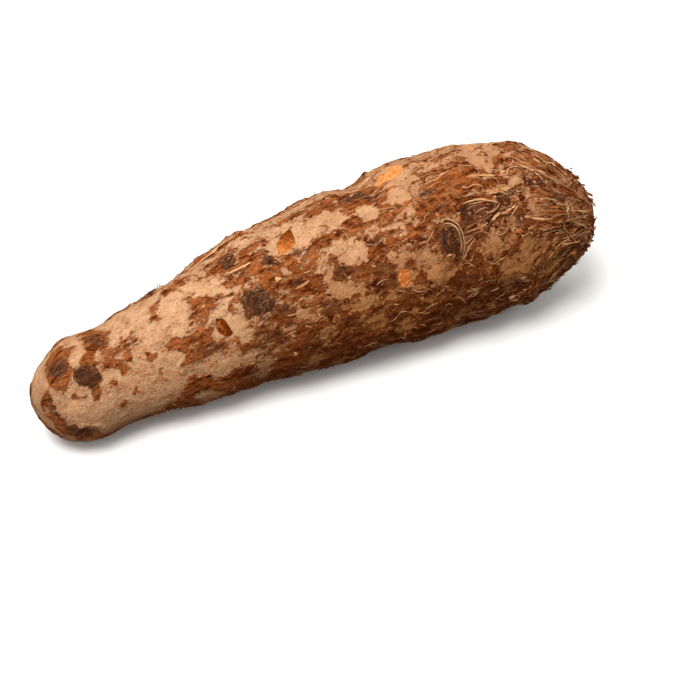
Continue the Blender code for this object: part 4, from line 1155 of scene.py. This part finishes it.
def lay_sheets(name, draw, places, sizes, lift, fray, tone, material, both_ends=False, rows=5, columns=4):
    """Papery sheets on the skin: frayed and lifted at the far end, or ribbons held at both ends.

    places are rows of along, turn and heading, and sizes are rows of length and width in mm.
    """
    along, turn, heading = (values[:, None, None] for values in places)
    long, wide = (values[:, None, None] for values in sizes)
    count = len(tone)
    u = np.linspace(0.0, 1.0, rows)[None, :, None]
    v = np.linspace(-0.5, 0.5, columns)[None, None, :]
    teeth = fray * draw.normal(0.0, 1.0, (count, 1, columns)) * u**2
    phase = draw.uniform(0.0, 2.0 * math.pi, (count, 1, 1))
    sway = 0.04 * long * (np.sin(u * 3.5 + phase) - np.sin(phase))
    breadth = wide * v * (1.0 + 0.25 * draw.normal(0.0, 1.0, (count, rows, columns)))
    if both_ends:
        breadth = breadth * np.sin((0.05 + 0.9 * u) * math.pi) ** 0.6
        rise = np.sin(u * math.pi) ** 0.5
    else:
        breadth = breadth * (0.55 + 0.45 * fade(0.0, 0.3, u)) * (1.0 - 0.3 * u**2)
        rise = u**1.6
    reach = long * (u + teeth)
    off = breadth + sway
    there = walked(along, reach * np.cos(heading) - off * np.sin(heading))
    around = turn + (reach * np.sin(heading) + off * np.cos(heading)) / skin_radius(there)
    level = (lift[:, None, None] + 0.10) * rise * (1.0 + 0.25 * draw.normal(0.0, 1.0, there.shape)) - 0.10
    spots = read_skin(there.ravel(), around.ravel(), lift=level.ravel())
    where = sunk_at_chips(spots, -1.3, -0.3)
    grid = np.arange(rows * columns).reshape(rows, columns)
    quads = np.stack((grid[:-1, :-1], grid[:-1, 1:], grid[1:, 1:], grid[1:, :-1]), axis=-1).reshape(-1, 4)
    faces = ((np.arange(count) * rows * columns)[:, None, None] + quads[None]).reshape(-1, 4)
    sheets = new_piece(name, where.tolist(), faces.tolist())
    write_attribute(sheets.data, "tone", "FLOAT", np.repeat(tone, rows * columns))
    apart = np.arange(count)[:, None, None] * 3.7
    strip = np.stack([np.broadcast_to(values, there.shape) for values in (reach, wide * v, apart)], axis=-1)
    write_attribute(sheets.data, "strip", "FLOAT_VECTOR", strip)
    thicken(sheets, SHEET_THICKNESS)
    sheets.data.materials.append(material)
    ride_root(sheets)


def tone_choice(draw, count, pale, dark):
    """Tones for sheets: a share of pale ones, a share of dark ones, and the rest between."""
    pick = draw.uniform(0.0, 1.0, count)
    middle = draw.uniform(0.35, 0.70, count)
    return np.where(pick < pale, draw.uniform(0.0, 0.3, count),
                    np.where(pick > 1.0 - dark, draw.uniform(0.75, 1.1, count), middle))


def strand_paths(draw, count, steps, start, length, sway, denser):
    """Rows of places for strands that run with the grain and wander a little, denser to the crown."""
    low, high = start
    begin = low + (high - low) * draw.uniform(0.0, 1.0, count) ** (1.0 / denser)
    run = draw.uniform(*length, count) * np.interp(begin, (low, high), (0.45, 1.0))
    share = np.linspace(0.0, 1.0, steps)[None, :]
    along = np.minimum(begin[:, None] + run[:, None] * share, LENGTH - 0.8)
    around = draw.uniform(-math.pi, math.pi, count)
    bend = draw.normal(0.0, sway, (count, 2)) * (run / length[1])[:, None]
    turn = around[:, None] + bend[:, :1] * share + bend[:, 1:2] * np.sin(share * math.pi) * 0.5
    return along, turn


def on_husk(along, turn, least):
    """Which strands have their middle where the husk clings."""
    middle = along.shape[1] // 2
    return read_skin(along[:, middle], turn[:, middle]).husk > least


class MALANGA_OT_strands(bpy.types.Operator):
    """Lay straw ribbons, and pale and dark strands of husk fibre that run with the grain to the crown"""

    bl_idname = "malanga.strands"
    bl_label = "Husk strands"

    def execute(self, context):
        looks, amounts = context.scene.malanga_looks, context.scene.malanga_amounts
        draw = np.random.default_rng(STRAND_SEED)
        rows = []
        for start, round_start, end, round_end, count in STRAND_BUNDLES:
            for number in range(count):
                first, last = (0.0, 1.0) if number == 0 else np.sort(draw.uniform(0.0, 1.0, 2)) * (0.5, 1.0)
                shift = 0.0 if number == 0 else draw.normal(0.0, 1.6)
                width = draw.uniform(0.4, 0.8) if number == 0 else draw.uniform(0.12, 0.34)
                ends = np.array((first, last))
                along = start + (end - start) * ends
                turn = np.radians(round_start + (round_end - round_start) * ends + shift)
                ahead = np.diff(np.interp(along, ALONG_TABLE, TRAVEL_TABLE))[0]
                aside = (turn[1] - turn[0]) * skin_radius(along[:1])[0]
                rows.append((along[0], turn[0], math.atan2(aside, ahead), math.hypot(aside, ahead), width))
        along, turn, heading, long, wide = np.array(rows).T
        count = len(rows)
        lift = draw.uniform(0.12, 0.34, count)
        lay_sheets("straw_ribbons", draw, (along, turn, heading), (long, wide), lift, 0.03,
                   draw.uniform(-0.10, 0.40, count), sheet_material("straw_ribbon", looks),
                   both_ends=True, rows=14, columns=5)

        steps = 9
        share = np.linspace(0.0, 1.0, steps)[None, :]
        fibre = dry_material("husk_fibre", rgba(looks.straw, 1.05), rgba(looks.husk_dark, 0.8), 0.85)
        for name, count, widths, lifts, tones, denser, least in (
            ("straw_strands", amounts.straw_strands, (0.05, 0.20), (0.05, 0.22), (0.00, 0.50), 2.2, -0.1),
            ("brown_strands", amounts.dark_strands, (0.05, 0.18), (0.03, 0.22), (0.50, 1.00), 1.8, 0.25),
        ):
            along, turn = strand_paths(
                draw, count, steps, start=(64.0, 201.0), length=(2.5, 11.0), sway=0.12, denser=denser)
            kept = on_husk(along, turn, least)
            along, turn = along[kept], turn[kept]
            count = len(along)
            lift = draw.uniform(*lifts, count)[:, None] * np.sin(share * math.pi) ** 0.6 - 0.05
            free = (draw.uniform(0.0, 1.0, count) < 0.15)[:, None]
            lift = lift + free * fade(0.6, 1.0, share) * draw.uniform(0.2, 0.9, count)[:, None]
            half_width = draw.uniform(*widths, count)
            tone = draw.uniform(*tones, count)
            lay_strands(name, along, turn, lift, half_width, half_width * 0.45, tone, fibre)
        return {"FINISHED"}


class MALANGA_OT_fringe(bpy.types.Operator):
    """Cover the crown with frayed shreds of husk, and put the pale sheath rims round the buds"""

    bl_idname = "malanga.fringe"
    bl_label = "Crown shreds and sheath rims"

    def execute(self, context):
        looks, amounts = context.scene.malanga_looks, context.scene.malanga_amounts
        draw = np.random.default_rng(FRINGE_SEED)
        count = amounts.shreds
        from_travel, to_travel = np.interp((112.0, 204.5), ALONG_TABLE, TRAVEL_TABLE)
        travel = from_travel + (to_travel - from_travel) * draw.uniform(0.0, 1.0, count) ** 0.55
        along = np.interp(travel, TRAVEL_TABLE, ALONG_TABLE)
        turn = draw.uniform(-math.pi, math.pi, count)
        kept = (read_skin(along, turn).husk > 0.05) | (along > 196.0)
        kept = kept & (draw.uniform(0.0, 1.0, count) < 0.30 + 0.70 * fade(176.0, 196.0, along))
        along, turn = along[kept], turn[kept]
        count = len(along)
        near_tip = fade(192.0, 203.0, along)
        heading = draw.normal(0.0, 1.0, count) * (0.16 + 0.5 * near_tip)
        long = draw.uniform(1.8, 7.0, count) * (1.0 - 0.4 * near_tip)
        near_crown = fade(178.0, 198.0, along)
        wide = draw.uniform(0.25, 1.3, count) * (1.0 - 0.55 * near_crown)
        lift = draw.uniform(0.05, 0.45, count) + 1.2 * near_crown * draw.uniform(0.0, 1.0, count) ** 3
        lay_sheets("crown_shreds", draw, (along, turn, heading), (long, wide), lift, 0.16,
                   tone_choice(draw, count, 0.24, 0.40), sheet_material("husk_shred", looks))

        steps = 12
        share = np.linspace(0.0, 1.0, steps)[None, :]
        strap = dry_material("husk_strap", rgba(looks.straw, 0.95), rgba(looks.husk_dark, 0.7), 0.85, 0.0003)
        ends = np.repeat(np.array(CROWN_LOOPS), LOOP_FIBRES, axis=0)
        ends = ends + draw.normal(0.0, 1.0, ends.shape) * (0.6, 2.5, 1.0, 3.0, 0.3)
        along = np.minimum(ends[:, :1] + (ends[:, 2:3] - ends[:, :1]) * share, LENGTH - 0.6)
        turn = np.radians(ends[:, 1:2] + (ends[:, 3:4] - ends[:, 1:2]) * share)
        lift = np.abs(ends[:, 4:]) * np.sin(share * math.pi)
        thick = np.arange(len(ends)) < THICK_FIBRES
        half_width = draw.uniform(0.06, 0.2, len(ends)) + 0.10 * thick
        tone = draw.uniform(0.1, 1.0, len(ends)) + 0.4 * thick
        lay_strands("crown_loops", along, turn, lift, half_width, half_width * 0.6, tone, strap)

        along, turn, lift, half_width, tone = [], [], [], [], []
        for at, around, reach, reach_across, first, last, fibres, breadth in SHEATHS:
            round_radius = read_line(np.array([at]))[1][0]
            for number in range(fibres + 1):
                band = number == fibres
                place = 0.0 if band else draw.uniform(-0.4, 0.4)
                stray = 2.0 if band else 5.0
                first_turn, last_turn = first + draw.normal(0.0, stray), last + draw.normal(0.0, stray)
                sweep = np.radians(np.linspace(first_turn, last_turn, steps))
                narrow = np.sin(share[0] * math.pi * 0.88 + 0.25)
                wider = place * breadth * narrow
                along.append(at + (reach + wider) * np.cos(sweep))
                turn.append(math.radians(around) + (reach_across + wider) * np.sin(sweep) / round_radius)
                lift.append((0.30 if band else 0.42 - abs(place) * 0.4) * narrow - 0.02)
                half_width.append(breadth * 0.34 if band else draw.uniform(0.06, 0.15))
                tone.append(0.45 if band else draw.uniform(0.05, 0.60))
        along, turn, lift, half_width = np.array(along), np.array(turn), np.array(lift), np.array(half_width)
        tall = np.minimum(half_width * 1.2, 0.22)
        lay_strands("sheath_rims", along, turn, lift, half_width, tall, np.array(tone), strap)
        return {"FINISHED"}


class MALANGA_OT_hairs(bpy.types.Operator):
    """Raise loose hairs at the crown and bristles on the buds"""

    bl_idname = "malanga.hairs"
    bl_label = "Loose hairs"

    def execute(self, context):
        looks, amounts = context.scene.malanga_looks, context.scene.malanga_amounts
        draw = np.random.default_rng(HAIR_SEED)
        starts = []
        for along, around, radius, _height, _lean, wide, bristles in BUDS.values():
            for _ in range(bristles):
                spread = draw.normal(0.0, 0.55, 2) * radius
                aside = math.degrees(spread[1] * wide / GRAIN_RADIUS)
                starts.append((along + spread[0], around + aside, BRISTLE_TONE))
        for _ in range(amounts.hairs):
            at = LENGTH - 2.0 - abs(draw.normal(0.0, 16.0))
            starts.append((at, draw.uniform(-180.0, 180.0), HAIR_TONE))
        starts = np.array(starts)
        count, steps = len(starts), 8
        share = np.linspace(0.0, 1.0, steps)[None, :]
        run = draw.uniform(1.0, 4.2, count)[:, None]
        heading = draw.normal(0.0, 1.1, count)[:, None]
        curl = draw.normal(0.0, 1.0, count)[:, None]
        way = heading + curl * share
        along = starts[:, :1] + np.cumsum(np.cos(way), axis=1) / steps * run
        along = np.clip(along, 1.0, LENGTH - 1.0)
        radius = np.maximum(6.0, GRAIN_RADIUS * end_rounding(along.ravel()).reshape(along.shape))
        turn = np.radians(starts[:, 1:2]) + np.cumsum(np.sin(way) / radius, axis=1) / steps * run
        arch = np.sin(share * math.pi * draw.uniform(0.5, 1.0, count)[:, None])
        lift = arch * draw.uniform(0.15, 0.9, count)[:, None] + 0.35 * (starts[:, 2:] > HAIR_TONE) - 0.08
        half_width = draw.uniform(0.03, 0.075, count)
        tone = starts[:, 2] + draw.normal(0.0, 0.22, count)
        hair = dry_material("hair_fibre", rgba(looks.straw, 0.95), rgba(looks.husk_dark, 0.7), 0.8)
        lay_strands("loose_hairs", along, turn, lift, half_width, half_width, tone, hair)
        return {"FINISHED"}


class MALANGA_OT_flakes(bpy.types.Operator):
    """Curl papery flakes off the edges of the husk"""

    bl_idname = "malanga.flakes"
    bl_label = "Husk flakes"

    def execute(self, context):
        looks, amounts = context.scene.malanga_looks, context.scene.malanga_amounts
        draw = np.random.default_rng(FLAKE_SEED)
        tried = amounts.flakes * 8
        along = draw.uniform(20.0, LENGTH - 14.0, tried)
        turn = draw.uniform(-math.pi, math.pi, tried)
        at_edge = np.abs(read_skin(along, turn).husk - 0.15) < 0.20
        along, turn = along[at_edge][: amounts.flakes], turn[at_edge][: amounts.flakes]
        count = len(along)
        heading = draw.choice((0.0, math.pi), count) + draw.normal(0.0, 0.5, count)
        sizes = (draw.uniform(0.7, 2.4, count), draw.uniform(0.5, 1.5, count))
        lift = draw.uniform(0.08, 0.45, count)
        lay_sheets("husk_flakes", draw, (along, turn, heading), sizes, lift, 0.14,
                   tone_choice(draw, count, 0.12, 0.40), sheet_material("husk_flake", looks), rows=4)
        return {"FINISHED"}


class MALANGA_OT_stage(bpy.types.Operator):
    """Set the pale floor, the soft lights and the camera"""

    bl_idname = "malanga.stage"
    bl_label = "Stage"

    def execute(self, context):
        stage = context.scene.malanga_stage
        nothing_selected()
        bpy.ops.mesh.primitive_plane_add(size=FLOOR_SIZE, location=(0.0, 0.0, 0.0))
        floor = context.object
        floor.name = "floor"
        surface, shader, plain = new_material("pale_floor")
        place = shader.node("ShaderNodeTexCoord").outputs["Object"]
        tint = shader.noise(place, 9.0, detail=2.0)
        pale = shader.mixed(tint, rgba(stage.floor), rgba(stage.floor, 0.97))
        shader.feed(plain.inputs["Base Color"], pale)
        plain.inputs["Roughness"].default_value = FLOOR_ROUGHNESS
        floor.data.materials.append(surface)
        floor.visible_diffuse = False

        world = bpy.data.worlds.new("soft_room")
        context.scene.world = world
        world.use_nodes = True
        sky = Shader(world.node_tree)
        room = world.node_tree.nodes["Background"]
        split = sky.node("ShaderNodeSeparateXYZ")
        sky.feed(split.inputs[0], sky.node("ShaderNodeTexCoord").outputs["Generated"])
        above = sky.ranged(split.outputs["Z"], -0.15, 0.25)
        sky.feed(room.inputs["Color"], sky.mixed(above, ROOM_BELOW, ROOM_ABOVE))
        room.inputs["Strength"].default_value = ROOM_STRENGTH

        target = Vector(stage.target)
        for name, place, size, power in LIGHTS:
            bpy.ops.object.light_add(type="AREA", location=place)
            light = context.object
            light.name = name
            light.data.shape = "DISK"
            light.data.size = size
            light.data.energy = power
            light.rotation_euler = (target - Vector(place)).to_track_quat("-Z", "Y").to_euler()

        level = math.cos(stage.elevation)
        back = Vector((
            math.sin(stage.azimuth) * level, -math.cos(stage.azimuth) * level, math.sin(stage.elevation)))
        bpy.ops.object.camera_add(location=target + back * stage.distance)
        camera = context.object
        camera.rotation_euler = back.to_track_quat("Z", "Y").to_euler()
        camera.data.lens = stage.lens
        camera.data.sensor_width = SENSOR_WIDTH
        camera.data.clip_start = NEAREST_SEEN
        context.scene.camera = camera
        context.scene.view_settings.view_transform = "Standard"
        return {"FINISHED"}


class MALANGA_PT_panel(bpy.types.Panel):
    """Lists the root's pieces, sizes and colours"""

    bl_idname = "MALANGA_PT_panel"
    bl_label = "Malanga root"
    bl_space_type = "VIEW_3D"
    bl_region_type = "UI"
    bl_category = "Malanga"

    def draw(self, context):
        for group in SETTINGS:
            settings = getattr(context.scene, group)
            box = self.layout.box()
            for name in settings.bl_rna.properties.keys():
                if name not in ("rna_type", "name"):
                    box.prop(settings, name)
        for operator in OPERATORS:
            self.layout.operator(operator.bl_idname)


OPERATORS = (
    MALANGA_OT_skin,
    MALANGA_OT_buds,
    MALANGA_OT_strands,
    MALANGA_OT_fringe,
    MALANGA_OT_hairs,
    MALANGA_OT_flakes,
    MALANGA_OT_stage,
)
SETTINGS = {
    "malanga_looks": MalangaLooks,
    "malanga_amounts": MalangaAmounts,
    "malanga_stage": MalangaStage,
}


def register():
    for settings in SETTINGS.values():
        bpy.utils.register_class(settings)
    for name, settings in SETTINGS.items():
        setattr(bpy.types.Scene, name, bpy.props.PointerProperty(type=settings))
    for operator in OPERATORS:
        bpy.utils.register_class(operator)
    bpy.utils.register_class(MALANGA_PT_panel)


def unregister():
    bpy.utils.unregister_class(MALANGA_PT_panel)
    for operator in reversed(OPERATORS):
        bpy.utils.unregister_class(operator)
    for name, settings in SETTINGS.items():
        delattr(bpy.types.Scene, name)
        bpy.utils.unregister_class(settings)


def main():
    register()
    for operator in OPERATORS:
        group, name = operator.bl_idname.split(".")
        getattr(getattr(bpy.ops, group), name)()


if __name__ == "__main__":
    main()
